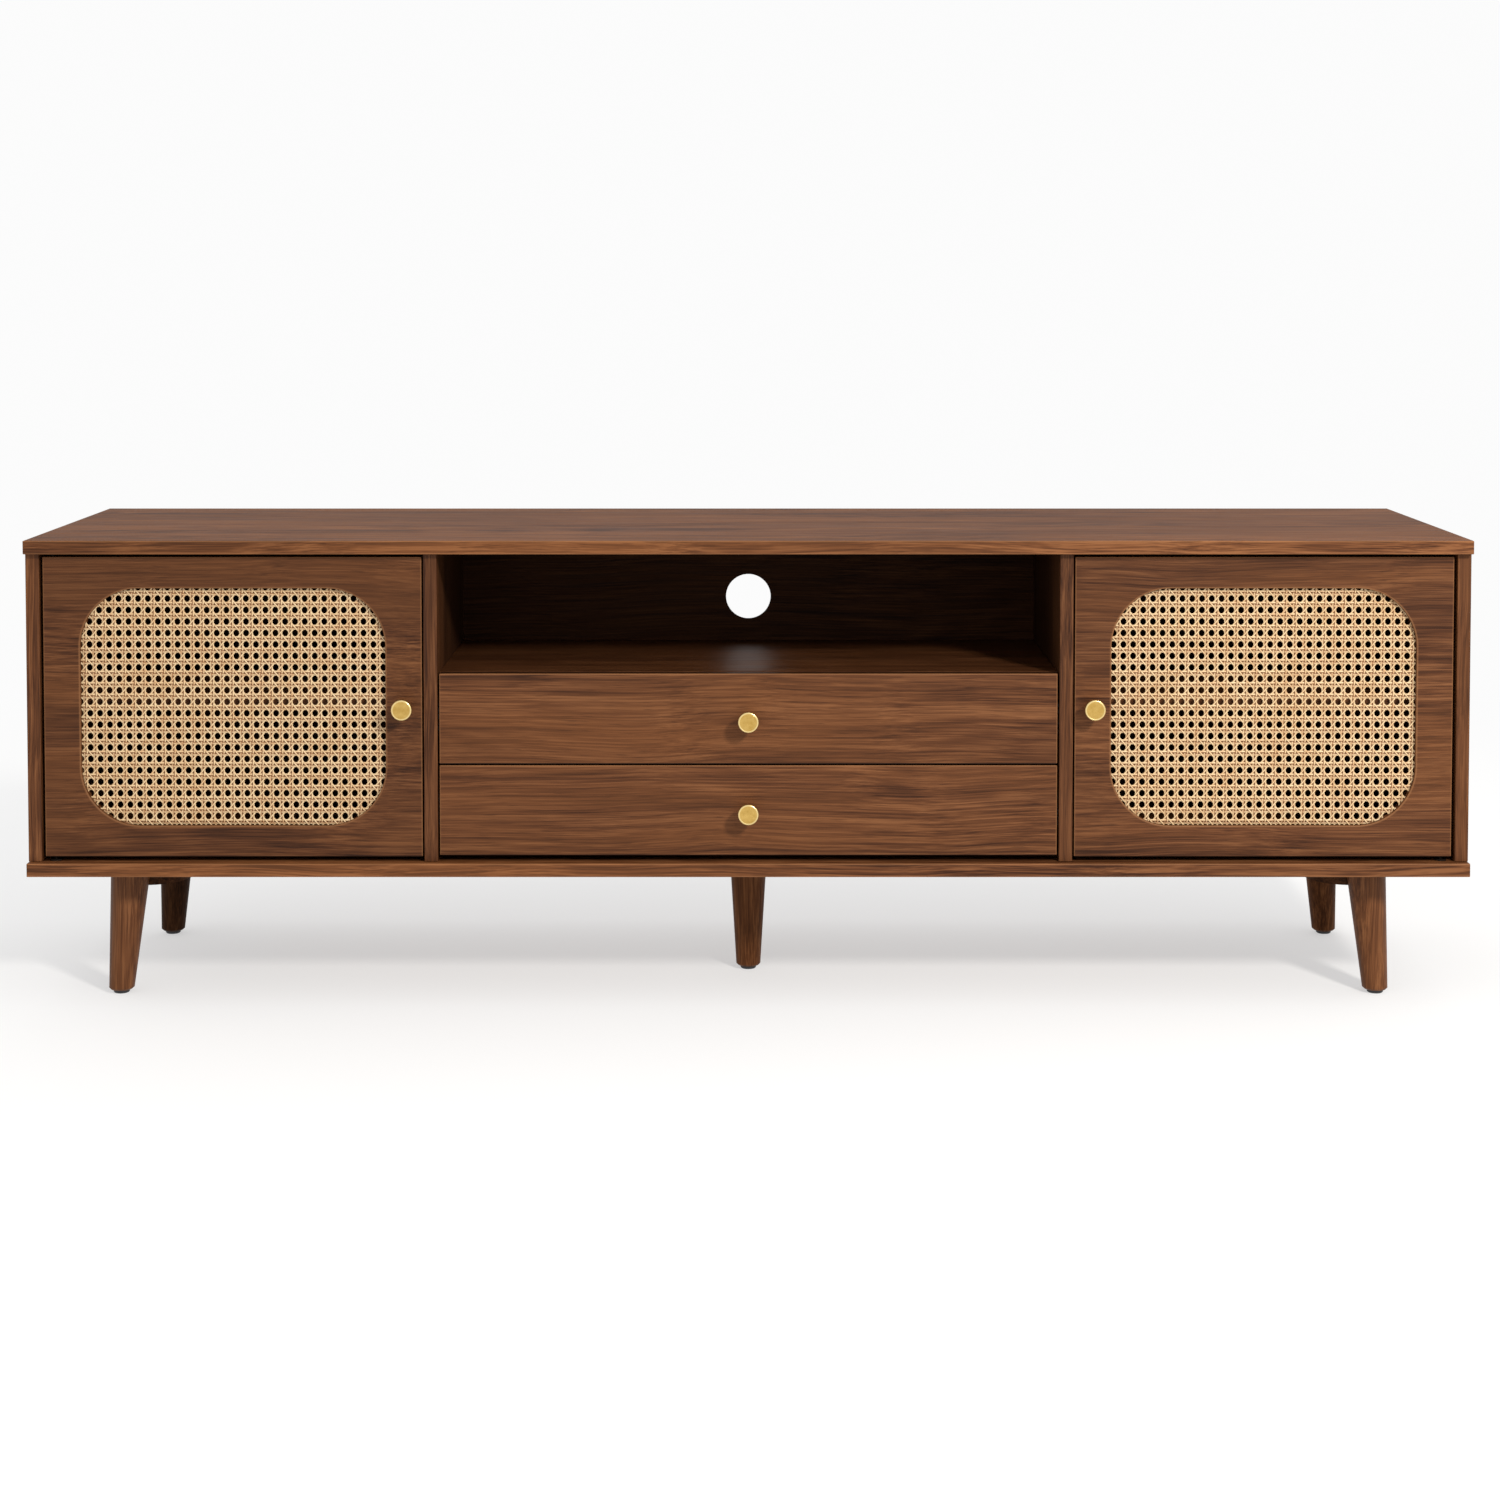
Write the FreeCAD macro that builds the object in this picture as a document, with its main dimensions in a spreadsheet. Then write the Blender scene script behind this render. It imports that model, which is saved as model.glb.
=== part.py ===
import FreeCAD, Part
import math
import os
import re

import Sketcher

# A low media cabinet: a carcass of flat boards on five turned legs, two doors
# with woven cane in a rounded opening, and two drawers under an open bay.
#
# Frame: X runs along the cabinet (right is +X), the front faces -Y, +Z is up.
# The origin is on the floor, at the middle of the box that holds the cabinet
# with its knobs. All sizes are in millimetres.

SIZES = {
    # the whole cabinet
    "cabinet_width": 1600,
    "cabinet_depth": 400,
    "cabinet_height": 520,
    "board": 15,
    "thin_board": 3,
    "edge_easing": 1,
    "underside_height": 146,
    "side_setback": 10,
    "face_setback": 12,
    "bay_half": 345,
    # grooves that hold the thin back panels
    "groove_depth": 5,
    "groove_width": 3.2,
    "centre_back_inset": 283,
    "side_back_inset": 382,
    "cable_hole_radius": 27,
    "cable_hole_height": 424,
    # shelves
    "centre_shelf_top": 371,
    "shelf_front_inset": 29,
    "loose_shelf_inset": 40,
    "loose_shelf_depth": 335,
    "loose_shelf_bottom": 325,
    "loose_shelf_gap": 1,
    # doors
    "door_hinge_gap": 3.5,
    "door_latch_gap": 2,
    "door_top_gap": 4,
    "door_bottom_gap": 5,
    "cane_side_margin": 40.5,
    "cane_end_margin": 35,
    "cane_corner": 66,
    "cane_recess": 5,
    "cane_thickness": 2,
    "rebate_width": 12,
    "rebate_play": 0.4,
    "hinge_inset": 10,
    # drawers
    "front_half": 343,
    "front_height": 101,
    "upper_front_bottom": 270,
    "lower_front_bottom": 167.5,
    "box_half": 332,
    "box_board": 12,
    "box_depth": 245,
    "box_height": 68,
    "box_rise": 13,
    "box_groove_rise": 10,
    # telescopic slides
    "slide_height": 35,
    "slide_length": 243,
    "slide_sheet": 1.2,
    "slide_play": 2.8,
    "outer_lip": 10,
    "middle_start": 2,
    "middle_lip": 11,
    "inner_lip": 4.6,
    # knobs
    "knob_reach": 13,
    "knob_radius": 11.5,
    "knob_stem_radius": 5,
    "knob_screw_radius": 2,
    "knob_bore": 11,
    "door_knob_inset": 20,
    "door_knob_height": 334,
    # legs
    "leg_top_radius": 22.5,
    "leg_foot_radius": 14,
    "leg_foot_chamfer": 2,
    "leg_inset": 75,
    "leg_reach": 701,
    "leg_splay": 10,
    "centre_leg_inset": 170,
    "glide_radius": 9,
    "glide_height": 4,
    "cleat_radius": 45,
    "cleat_reach": 687,
    "cleat_play": 0.3,
    "cleat_inset": 123,
    "cleat_thickness": 27,
    "leg_bolt_radius": 4,
    # fittings
    "cam_radius": 7.5,
    "cam_depth": 12,
    "cam_inset": 24,
    "cam_bolt_radius": 3,
    "cam_bolt_grip": 11,
    "cam_front": 60,
    "cam_rear": 340,
    "shelf_cam_front": 80,
    "shelf_cam_rear": 230,
    "pin_radius": 2.5,
    "pin_length": 8,
    "pin_front": 90,
    "pin_rear": 320,
    "hinge_pin_radius": 2.5,
    "hinge_pin_play": 0.05,
    "bush_radius": 4,
    "bush_flange_radius": 6.5,
    "bush_flange": 1.5,
    "bush_depth": 9,
    "catch_width": 16,
    "catch_depth": 15,
    "catch_height": 46,
    "catch_bottom": 447,
    "catch_gap": 0.3,
    "strike_sheet": 1.5,
}

# Places that several pieces share, each written from the sizes above.
PLACES = {
    "front": "-(cabinet_depth - knob_reach) / 2",
    "rear": "front + cabinet_depth",
    "half_width": "cabinet_width / 2",
    "ceiling": "cabinet_height - board",
    "floor_top": "underside_height + board",
    "side_height": "ceiling - floor_top",
    "end_inner": "half_width - board",
    "bay_outer": "bay_half + board",
    "face": "front + face_setback",
    "face_back": "face + board",
    "door_inner": "bay_outer + door_latch_gap",
    "door_outer": "end_inner - door_hinge_gap",
    "door_width": "door_outer - door_inner",
    "door_low": "floor_top + door_bottom_gap",
    "door_high": "ceiling - door_top_gap",
    "door_height": "door_high - door_low",
    "door_middle": "(door_inner + door_outer) / 2",
    "cane_length": "door_width - 2 * cane_side_margin",
    "cane_height": "door_height - 2 * cane_end_margin",
    "pivot_x": "door_outer - hinge_inset",
    "pivot_y": "face + board / 2",
    "shelf_bottom": "centre_shelf_top - board",
    "slide_front": "front + shelf_front_inset + 1",
}

WORD = re.compile(r"[a-z_]+[a-z]")
SIDES = {"left": -1, "right": 1}

doc = FreeCAD.newDocument("MediaCabinet")
nodes = []


# ---------------------------------------------------------------- expressions

def full(text):
    """Writes a short expression out, down to cells of the sheet."""
    def swap(match):
        word = match.group()
        if word in PLACES:
            return "(" + full(PLACES[word]) + ")"
        if word in SIZES:
            return "sizes." + word
        return word
    return WORD.sub(swap, str(text))


def number(text):
    """The present value of a short expression, to start a sketch from."""
    plain = re.sub(r"sizes\.([a-z_]+)", lambda found: str(SIZES[found.group(1)]), full(text))
    return float(FreeCAD.Units.Quantity("(" + plain + ") * 1.0").Value)


def bind(item, **expressions):
    """Binds properties of an object to expressions; a dot is written as __."""
    for name, text in expressions.items():
        item.setExpression(name.replace("__", "."), full(text))


def put(item, x="0", y="0", z="0", turn=None):
    """Places a sub-part, with its position bound to expressions."""
    if turn is not None:
        item.Placement.Rotation = turn
    bind(item, Placement__Base__x=x, Placement__Base__y=y, Placement__Base__z=z)
    return item


def times(side, text):
    """An expression mirrored in X for the left side."""
    return text if side > 0 else "-(" + text + ")"


def build_sheet():
    """The spreadsheet that holds the driving sizes."""
    sheet = doc.addObject("Spreadsheet::Sheet", "sizes")
    for row, (name, value) in enumerate(SIZES.items(), start=1):
        sheet.set("A%d" % row, name.replace("_", " "))
        sheet.set("B%d" % row, str(value))
        sheet.setAlias("B%d" % row, name)
    doc.recompute()


# ------------------------------------------------------------------- sketches

PLANE_ROLES = {"X": "YZ_Plane", "Y": "XZ_Plane", "Z": "XY_Plane"}


def sketch_on(body, normal, offset="0"):
    """A sketch across one axis of its own body, offset along that axis."""
    plane = next(item for item in body.Origin.OriginFeatures if item.Role == PLANE_ROLES[normal])
    sketch = body.newObject("Sketcher::SketchObject", "Sketch")
    sketch.AttachmentSupport = [(plane, "")]
    sketch.MapMode = "FlatFace"
    # the XZ plane faces -Y, so its offset is counted backwards
    sign = "-1 * " if normal == "Y" else ""
    bind(sketch, AttachmentOffset__Base__z=sign + "(" + offset + ")")
    return sketch


def pin_point(sketch, curve, point, u, v):
    """Fixes one point of a sketch at bound distances from the origin."""
    for kind, text in (("DistanceX", u), ("DistanceY", v)):
        index = sketch.addConstraint(Sketcher.Constraint(kind, -1, 1, curve, point, number(text)))
        sketch.setExpression("Constraints[%d]" % index, full(text))


def polygon(sketch, points):
    """A closed outline whose corners are all bound."""
    spots = [FreeCAD.Vector(number(u), number(v), 0) for u, v in points]
    first = sketch.GeometryCount
    count = len(points)
    for index in range(count):
        sketch.addGeometry(Part.LineSegment(spots[index], spots[(index + 1) % count]))
    for index in range(count):
        following = first + (index + 1) % count
        sketch.addConstraint(Sketcher.Constraint("Coincident", first + index, 2, following, 1))
    for index, (u, v) in enumerate(points):
        pin_point(sketch, first + index, 1, u, v)


def rectangle(sketch, low_u, low_v, high_u, high_v):
    polygon(sketch, [(low_u, low_v), (high_u, low_v), (high_u, high_v), (low_u, high_v)])


def circle(sketch, u, v, radius):
    """A circle with a bound centre and radius."""
    centre = FreeCAD.Vector(number(u), number(v), 0)
    index = sketch.addGeometry(Part.Circle(centre, FreeCAD.Vector(0, 0, 1), number(radius)))
    limit = sketch.addConstraint(Sketcher.Constraint("Radius", index, number(radius)))
    sketch.setExpression("Constraints[%d]" % limit, full(radius))
    pin_point(sketch, index, 3, u, v)


def rounded_rectangle(sketch, length, height, radius):
    """A rectangle about the origin with round corners, tangent all round."""
    half_u = number(length) / 2
    half_v = number(height) / 2
    bend = number(radius)
    first = sketch.GeometryCount
    corners = [(1, 1, 0), (-1, 1, 90), (-1, -1, 180), (1, -1, 270)]
    ends = []
    for sign_u, sign_v, start in corners:
        centre = FreeCAD.Vector(sign_u * (half_u - bend), sign_v * (half_v - bend), 0)
        ring = Part.Circle(centre, FreeCAD.Vector(0, 0, 1), bend)
        arc = Part.ArcOfCircle(ring, math.radians(start), math.radians(start + 90))
        sketch.addGeometry(arc)
        ends.append((arc.StartPoint, arc.EndPoint))
    for index in range(4):
        sketch.addGeometry(Part.LineSegment(ends[index][1], ends[(index + 1) % 4][0]))
    for index in range(4):
        arc = first + index
        line = first + 4 + index
        following = first + (index + 1) % 4
        sketch.addConstraint(Sketcher.Constraint("Tangent", arc, 2, line, 1))
        sketch.addConstraint(Sketcher.Constraint("Tangent", line, 2, following, 1))
    for index, (sign_u, sign_v, start) in enumerate(corners):
        u = "%d * ((%s) / 2 - (%s))" % (sign_u, length, radius)
        v = "%d * ((%s) / 2 - (%s))" % (sign_v, height, radius)
        pin_point(sketch, first + index, 3, u, v)
    bound = sketch.addConstraint(Sketcher.Constraint("Radius", first, bend))
    sketch.setExpression("Constraints[%d]" % bound, full(radius))


# --------------------------------------------------------------------- solids

def new_body(label):
    """A body of its own for one sub-part."""
    body = doc.addObject("PartDesign::Body", "Body")
    body.Label = label
    return body


def keep(item):
    """Marks a finished sub-part as a node of the cabinet."""
    nodes.append(item)
    return item


def pad(body, sketch, length, both_ways=False):
    feature = body.newObject("PartDesign::Pad", "Pad")
    feature.Profile = sketch
    feature.Midplane = both_ways
    bind(feature, Length=length)
    doc.recompute()
    return feature


def pocket(body, normal, offset, depth, draw):
    """Cuts a drawn shape, half its depth to each side of a plane."""
    before = body.Shape.Volume
    sketch = sketch_on(body, normal, offset)
    draw(sketch)
    feature = body.newObject("PartDesign::Pocket", "Pocket")
    feature.Profile = sketch
    feature.Midplane = True
    bind(feature, Length=depth)
    doc.recompute()
    if not body.Shape.Volume < before:
        raise ValueError("a pocket cuts nothing from " + body.Label)


def cut_box(body, low, high):
    """Cuts a groove or rebate given by its two corners in the body's frame."""
    pocket(body, "Z", "((%s) + (%s)) / 2" % (low[2], high[2]), "(%s) - (%s)" % (high[2], low[2]),
           lambda sketch: rectangle(sketch, low[0], low[1], high[0], high[1]))


def drill(body, normal, face, depth, radius, centres):
    """Drills equal holes into a face; half of the cutter stays outside it."""
    def draw(sketch):
        for u, v in centres:
            circle(sketch, u, v, radius)
    pocket(body, normal, face, "2 * (%s)" % depth, draw)


def ease_edges(body, feature):
    """Rounds every edge of a board."""
    fillet = body.newObject("PartDesign::Fillet", "Easing")
    fillet.Base = (feature, ["Edge%d" % (index + 1) for index in range(len(feature.Shape.Edges))])
    bind(fillet, Radius="edge_easing")
    doc.recompute()


def board(label, size, low, eased=True):
    """A flat board, padded up from its own corner and then placed."""
    body = new_body(label)
    sketch = sketch_on(body, "Z")
    rectangle(sketch, "0", "0", size[0], size[1])
    blank = pad(body, sketch, size[2])
    if eased:
        ease_edges(body, blank)
    return put(body, *low)


def turned(label, points):
    """A round piece turned about its own Z axis from (radius, height) points."""
    body = new_body(label)
    sketch = sketch_on(body, "Y")
    polygon(sketch, points)
    feature = body.newObject("PartDesign::Revolution", "Revolution")
    feature.Profile = sketch
    feature.ReferenceAxis = (sketch, ["V_Axis"])
    feature.Angle = 360
    doc.recompute()
    return body


def copies(label, source, places):
    """One node that holds a separate solid at each place."""
    links = []
    for place in places:
        link = doc.addObject("App::Link", "Copy")
        link.LinkedObject = source
        put(link, *place)
        links.append(link)
    group = doc.addObject("Part::Compound", "Group")
    group.Label = label
    group.Links = links
    return keep(group)


UP = FreeCAD.Rotation()
DOWN = FreeCAD.Rotation(FreeCAD.Vector(1, 0, 0), 180)
TO_FRONT = FreeCAD.Rotation(FreeCAD.Vector(1, 0, 0), 90)
TO_RIGHT = FreeCAD.Rotation(FreeCAD.Vector(0, 1, 0), 90)
TO_LEFT = FreeCAD.Rotation(FreeCAD.Vector(0, 1, 0), -90)


def toward(side):
    return TO_RIGHT if side > 0 else TO_LEFT


# -------------------------------------------------------------------- carcass

def board_middles():
    """X of the middles of the four upright boards."""
    return ["-(half_width - board / 2)", "-(bay_half + board / 2)",
            "bay_half + board / 2", "half_width - board / 2"]


def horizontal_panel(label, low_z, inner_z, inward):
    """The top or the bottom: grooves for the backs, holes for the fittings.

    inner_z is the height of its inner face in its own frame, and inward is
    +1 or -1 as that face looks up or down.
    """
    panel = board(label, ("cabinet_width", "cabinet_depth", "board"), ("-half_width", "front", low_z))
    groove_low = "%s - %s" % (inner_z, "groove_depth" if inward > 0 else "0.01")
    groove_high = "%s + %s" % (inner_z, "0.01" if inward > 0 else "groove_depth")
    spans = [("-(end_inner + groove_depth)", "-(bay_outer - groove_depth)", "side_back_inset"),
             ("-(bay_half + groove_depth)", "bay_half + groove_depth", "centre_back_inset"),
             ("bay_outer - groove_depth", "end_inner + groove_depth", "side_back_inset")]
    for start, stop, inset in spans:
        cut_box(panel, (start + " + half_width", inset, groove_low),
                (stop + " + half_width", inset + " + groove_width", groove_high))
    bolts = [(x + " + half_width", y) for x in board_middles() for y in ("cam_front", "cam_rear")]
    drill(panel, "Z", inner_z, "cam_bolt_grip", "cam_bolt_radius", bolts)
    bushes = [("half_width %s pivot_x" % sign, "pivot_y - front") for sign in "-+"]
    drill(panel, "Z", inner_z, "bush_depth", "bush_radius", bushes)
    return keep(panel)


def build_panels():
    horizontal_panel("top_panel", "ceiling", "0", -1)
    bottom = horizontal_panel("bottom_panel", "underside_height", "board", 1)
    bolts = [(x + " + half_width", y + " - front") for x, y in leg_tops()]
    drill(bottom, "Z", "0", "cam_bolt_grip", "leg_bolt_radius", bolts)


def cam_holes(body, inner_x, length, fronts):
    """Cam pockets near both ends of an upright board, and their bolt ways."""
    heights = ["cam_inset", "%s - cam_inset" % length]
    drill(body, "X", inner_x, "cam_depth", "cam_radius", [(y, z) for y in fronts for z in heights])
    for end in ("0", length):
        drill(body, "Z", end, "cam_inset", "cam_bolt_radius + 0.2", [("board / 2", y) for y in fronts])


def upright(label, low_x, inner_x, backs):
    """An end panel or divider.

    inner_x is the face towards the side compartment, in its own frame, and
    backs lists the faces that carry a groove, with the inset of each groove.
    """
    panel = board(label, ("board", "cabinet_depth - side_setback", "side_height"),
                  (low_x, "front + side_setback", "floor_top"))
    for face_x, reach, inset in backs:
        cut_box(panel, (face_x, inset + " - side_setback", "-1"),
                (reach, inset + " - side_setback + groove_width", "side_height + 1"))
    cam_holes(panel, inner_x, "side_height", ["cam_front - side_setback", "cam_rear - side_setback"])
    heights = ["loose_shelf_bottom - floor_top - pin_radius + %d" % step for step in (-32, 0, 32)]
    pins = [(y + " - side_setback", z) for y in ("pin_front", "pin_rear") for z in heights]
    drill(panel, "X", inner_x, "pin_length", "pin_radius", pins)
    return panel


def build_uprights():
    for name, side in SIDES.items():
        near, far = ("0", "board") if side < 0 else ("board", "0")
        low_end = "-half_width" if side < 0 else "end_inner"
        low_divider = "-bay_outer" if side < 0 else "bay_half"

        def groove(face_x, inset):
            """A groove into the face at face_x of the upright's own frame."""
            if face_x == "0":
                return ("-1", "groove_depth", inset)
            return ("board - groove_depth", "board + 1", inset)

        keep(upright(name + "_end_panel", low_end, far, [groove(far, "side_back_inset")]))
        divider = upright(name + "_divider", low_divider, near,
                          [groove(near, "side_back_inset"), groove(far, "centre_back_inset")])
        middle = "shelf_bottom + board / 2 - floor_top"
        bolts = [(y + " + shelf_front_inset - side_setback", middle)
                 for y in ("shelf_cam_front", "shelf_cam_rear")]
        drill(divider, "X", far, "cam_bolt_grip", "cam_bolt_radius", bolts)
        keep(divider)


def build_shelves():
    depth = "centre_back_inset - shelf_front_inset"
    shelf = board("centre_shelf", ("2 * bay_half", depth, "board"),
                  ("-bay_half", "front + shelf_front_inset", "shelf_bottom"))
    fronts = ["shelf_cam_front", "shelf_cam_rear"]
    ends = ["cam_inset", "2 * bay_half - cam_inset"]
    drill(shelf, "Z", "0", "cam_depth", "cam_radius", [(x, y) for x in ends for y in fronts])
    for end in ("0", "2 * bay_half"):
        drill(shelf, "X", end, "cam_inset", "cam_bolt_radius + 0.2", [(y, "board / 2") for y in fronts])
    keep(shelf)
    length = "end_inner - bay_outer - 2 * loose_shelf_gap"
    for name, side in SIDES.items():
        low_x = "bay_outer + loose_shelf_gap" if side > 0 else "-(end_inner - loose_shelf_gap)"
        keep(board(name + "_adjustable_shelf", (length, "loose_shelf_depth", "board"),
                   (low_x, "front + loose_shelf_inset", "loose_shelf_bottom")))


def build_backs():
    """Thin back panels in the grooves; the one of the bay has a cable hole."""
    height = "side_height + 2 * groove_depth"
    low_z = "floor_top - groove_depth"
    width = "2 * (bay_half + groove_depth)"
    centre = board("centre_back_panel", (width, "thin_board", height),
                   ("-(bay_half + groove_depth)", "front + centre_back_inset", low_z), eased=False)
    hole = [("bay_half + groove_depth", "cable_hole_height - floor_top + groove_depth")]
    drill(centre, "Y", "0", "2 * thin_board", "cable_hole_radius", hole)
    keep(centre)
    width = "end_inner - bay_outer + 2 * groove_depth"
    for name, side in SIDES.items():
        low_x = "bay_outer - groove_depth" if side > 0 else "-(end_inner + groove_depth)"
        keep(board(name + "_back_panel", (width, "thin_board", height),
                   (low_x, "front + side_back_inset", low_z), eased=False))


# ----------------------------------------------------------------------- legs

def leg_tops():
    """X and Y of the tops of the four corner legs and of the centre leg."""
    corners = [("%s leg_reach" % sign, y) for sign in ("-", "")
               for y in ("front + leg_inset", "rear - leg_inset")]
    return corners + [("0", "front + centre_leg_inset")]


def leg_cone(x, y, lean_x, lean_y, spare):
    """A taper along a leg's axis, longer than the leg at both ends.

    lean_x and lean_y are the directions in which the foot stands out.
    """
    rise = number("underside_height - glide_height")
    over = 0.1
    cone = doc.addObject("Part::Cone", "Taper")
    swell = "(leg_top_radius - leg_foot_radius) * %s" % over
    bind(cone, Radius1="leg_foot_radius - %s + %s" % (swell, spare),
         Radius2="leg_top_radius + %s + %s" % (swell, spare))
    drift = FreeCAD.Vector(-lean_x * SIZES["leg_splay"], -lean_y * SIZES["leg_splay"], rise)
    cone.Placement.Rotation = FreeCAD.Rotation(FreeCAD.Vector(0, 0, 1), drift)
    splay = "leg_splay * %s" % (1 + over)
    height = "(underside_height - glide_height)"
    bind(cone, Height="sqrt(%s ^ 2 + %d * leg_splay ^ 2) * %s"
         % (height, abs(lean_x) + abs(lean_y), 1 + 2 * over))
    put(cone, "%s + %d * %s" % (x, lean_x, splay), "%s + %d * %s" % (y, lean_y, splay),
        "glide_height - %s * %s" % (over, height))
    return cone


def leg(label, x, y, lean_x, lean_y):
    """A tapered leg with a level top and foot, bored for its bolt."""
    cone = leg_cone(x, y, lean_x, lean_y, "0")
    slab = doc.addObject("Part::Box", "LegSpan")
    bind(slab, Length="200", Width="200", Height="underside_height - glide_height")
    put(slab, x + " - 100", y + " - 100", "glide_height")
    blank = doc.addObject("Part::Common", "LegBlank")
    blank.Base = cone
    blank.Tool = slab
    doc.recompute()
    softened = doc.addObject("Part::Chamfer", "LegFoot")
    softened.Base = blank
    chamfer = SIZES["leg_foot_chamfer"]
    softened.Edges = [(index + 1, chamfer, chamfer) for index, edge in enumerate(blank.Shape.Edges)
                      if edge.BoundBox.ZMax < SIZES["glide_height"] + 0.01]
    bore = doc.addObject("Part::Cylinder", "BoltHole")
    bind(bore, Radius="leg_bolt_radius", Height="underside_height")
    put(bore, x, y, "underside_height - 4 * cam_bolt_grip")
    piece = doc.addObject("Part::Cut", "Leg")
    piece.Label = label
    piece.Base = softened
    piece.Tool = bore
    return keep(piece)


def build_legs():
    names = ["front_left_leg", "rear_left_leg", "front_right_leg", "rear_right_leg", "centre_leg"]
    leans = [(-1, -1), (-1, 1), (1, -1), (1, 1), (0, 0)]
    feet = []
    for name, (x, y), (lean_x, lean_y) in zip(names, leg_tops(), leans):
        leg(name, x, y, lean_x, lean_y)
        feet.append(("%s + %d * leg_splay" % (x, lean_x), "%s + %d * leg_splay" % (y, lean_y), "0"))
    glide = turned("glide", [("0", "0"), ("glide_radius - 1", "0"), ("glide_radius", "1"),
                             ("glide_radius", "glide_height"), ("0", "glide_height")])
    copies("leg_glides", glide, feet)
    bolt = turned("leg bolt", [("0", "0"), ("leg_bolt_radius", "0"),
                               ("leg_bolt_radius", "5 * cam_bolt_grip"), ("0", "5 * cam_bolt_grip")])
    copies("leg_bolts", bolt, [(x, y, "underside_height - 4 * cam_bolt_grip") for x, y in leg_tops()])


def build_cleats():
    """Round-ended blocks behind the legs, coped around the leg tops."""
    for name, side in SIDES.items():
        middle = times(side, "cleat_reach")
        bar = doc.addObject("Part::Box", "CleatBar")
        bind(bar, Length="2 * cleat_radius", Width="cabinet_depth - 2 * cleat_inset",
             Height="cleat_thickness")
        put(bar, middle + " - cleat_radius", "front + cleat_inset", "underside_height - cleat_thickness")
        shapes = [bar]
        for y in ("front + cleat_inset", "rear - cleat_inset"):
            end = doc.addObject("Part::Cylinder", "CleatEnd")
            bind(end, Radius="cleat_radius", Height="cleat_thickness")
            put(end, middle, y, "underside_height - cleat_thickness")
            shapes.append(end)
        blank = doc.addObject("Part::MultiFuse", "CleatBlank")
        blank.Shapes = shapes
        blank.Refine = True
        copes = doc.addObject("Part::MultiFuse", "Copes")
        copes.Shapes = [leg_cone(times(side, "leg_reach"), y, side, lean, "cleat_play")
                        for y, lean in (("front + leg_inset", -1), ("rear - leg_inset", 1))]
        cleat = doc.addObject("Part::Cut", "Cleat")
        cleat.Label = name + "_leg_cleat"
        cleat.Base = blank
        cleat.Tool = copes
        keep(cleat)


# ------------------------------------------------------------------- fittings

def build_cams():
    """Cam locks in the upright boards and the shelf, with their bolts."""
    cam = turned("cam", [("0", "0"), ("cam_radius", "0"), ("cam_radius", "cam_depth"), ("0", "cam_depth")])
    drill(cam, "X", "0", "cam_radius + 1", "cam_bolt_radius + 0.2", [("0", "board / 2")])
    length = "cam_bolt_grip + cam_inset - 0.5"
    bolt = turned("cam bolt", [("0", "0"), ("cam_bolt_radius", "0"),
                               ("cam_bolt_radius", length), ("0", length)])
    cams = []
    bolts = []
    ends = [("floor_top + cam_inset", "floor_top - cam_bolt_grip", UP),
            ("ceiling - cam_inset", "ceiling + cam_bolt_grip", DOWN)]
    for side in SIDES.values():
        boards = [("end_inner", "end_inner + board / 2", toward(side)),
                  ("bay_outer", "bay_half + board / 2", toward(-side))]
        for cam_x, bolt_x, inward in boards:
            for inset in ("cam_front", "cam_rear"):
                for cam_z, bolt_z, way in ends:
                    cams.append((times(side, cam_x), "front + " + inset, cam_z, inward))
                    bolts.append((times(side, bolt_x), "front + " + inset, bolt_z, way))
        for inset in ("shelf_cam_front", "shelf_cam_rear"):
            y = "front + shelf_front_inset + " + inset
            cams.append((times(side, "bay_half - cam_inset"), y, "shelf_bottom", UP))
            bolts.append((times(side, "bay_half + cam_bolt_grip"), y, "shelf_bottom + board / 2",
                          toward(-side)))
    copies("cam_locks", cam, cams)
    copies("cam_bolts", bolt, bolts)


def build_shelf_pins():
    pin = turned("shelf pin", [("0", "-pin_length"), ("pin_radius", "-pin_length"), ("pin_radius", "0"),
                               ("pin_radius + 1.5", "0"), ("pin_radius + 1.5", "loose_shelf_gap"),
                               ("pin_radius", "loose_shelf_gap"), ("pin_radius", "pin_length"),
                               ("0", "pin_length")])
    places = [(times(side, x), "front + " + y, "loose_shelf_bottom - pin_radius", toward(way * side))
              for side in SIDES.values() for x, way in (("end_inner", -1), ("bay_outer", 1))
              for y in ("pin_front", "pin_rear")]
    copies("shelf_pins", pin, places)


def build_hinges():
    """Bushes in the top and bottom panels, and the pins that turn in them."""
    bore = "hinge_pin_radius + hinge_pin_play"
    bush = turned("hinge bush", [(bore, "-bush_flange"), ("bush_flange_radius", "-bush_flange"),
                                 ("bush_flange_radius", "0"), ("bush_radius", "0"),
                                 ("bush_radius", "bush_depth"), (bore, "bush_depth")])
    pin = turned("hinge pin", [("0", "-2 * hinge_inset"), ("hinge_pin_radius", "-2 * hinge_inset"),
                               ("hinge_pin_radius", "hinge_inset"), ("0", "hinge_inset")])
    bushes = []
    for name, side in SIDES.items():
        x = times(side, "pivot_x")
        bushes += [(x, "pivot_y", "ceiling", UP), (x, "pivot_y", "floor_top", DOWN)]
        copies(name + "_hinge_pins", pin, [(x, "pivot_y", "door_high", UP),
                                           (x, "pivot_y", "door_low", DOWN)])
    copies("hinge_bushes", bush, bushes)


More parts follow.
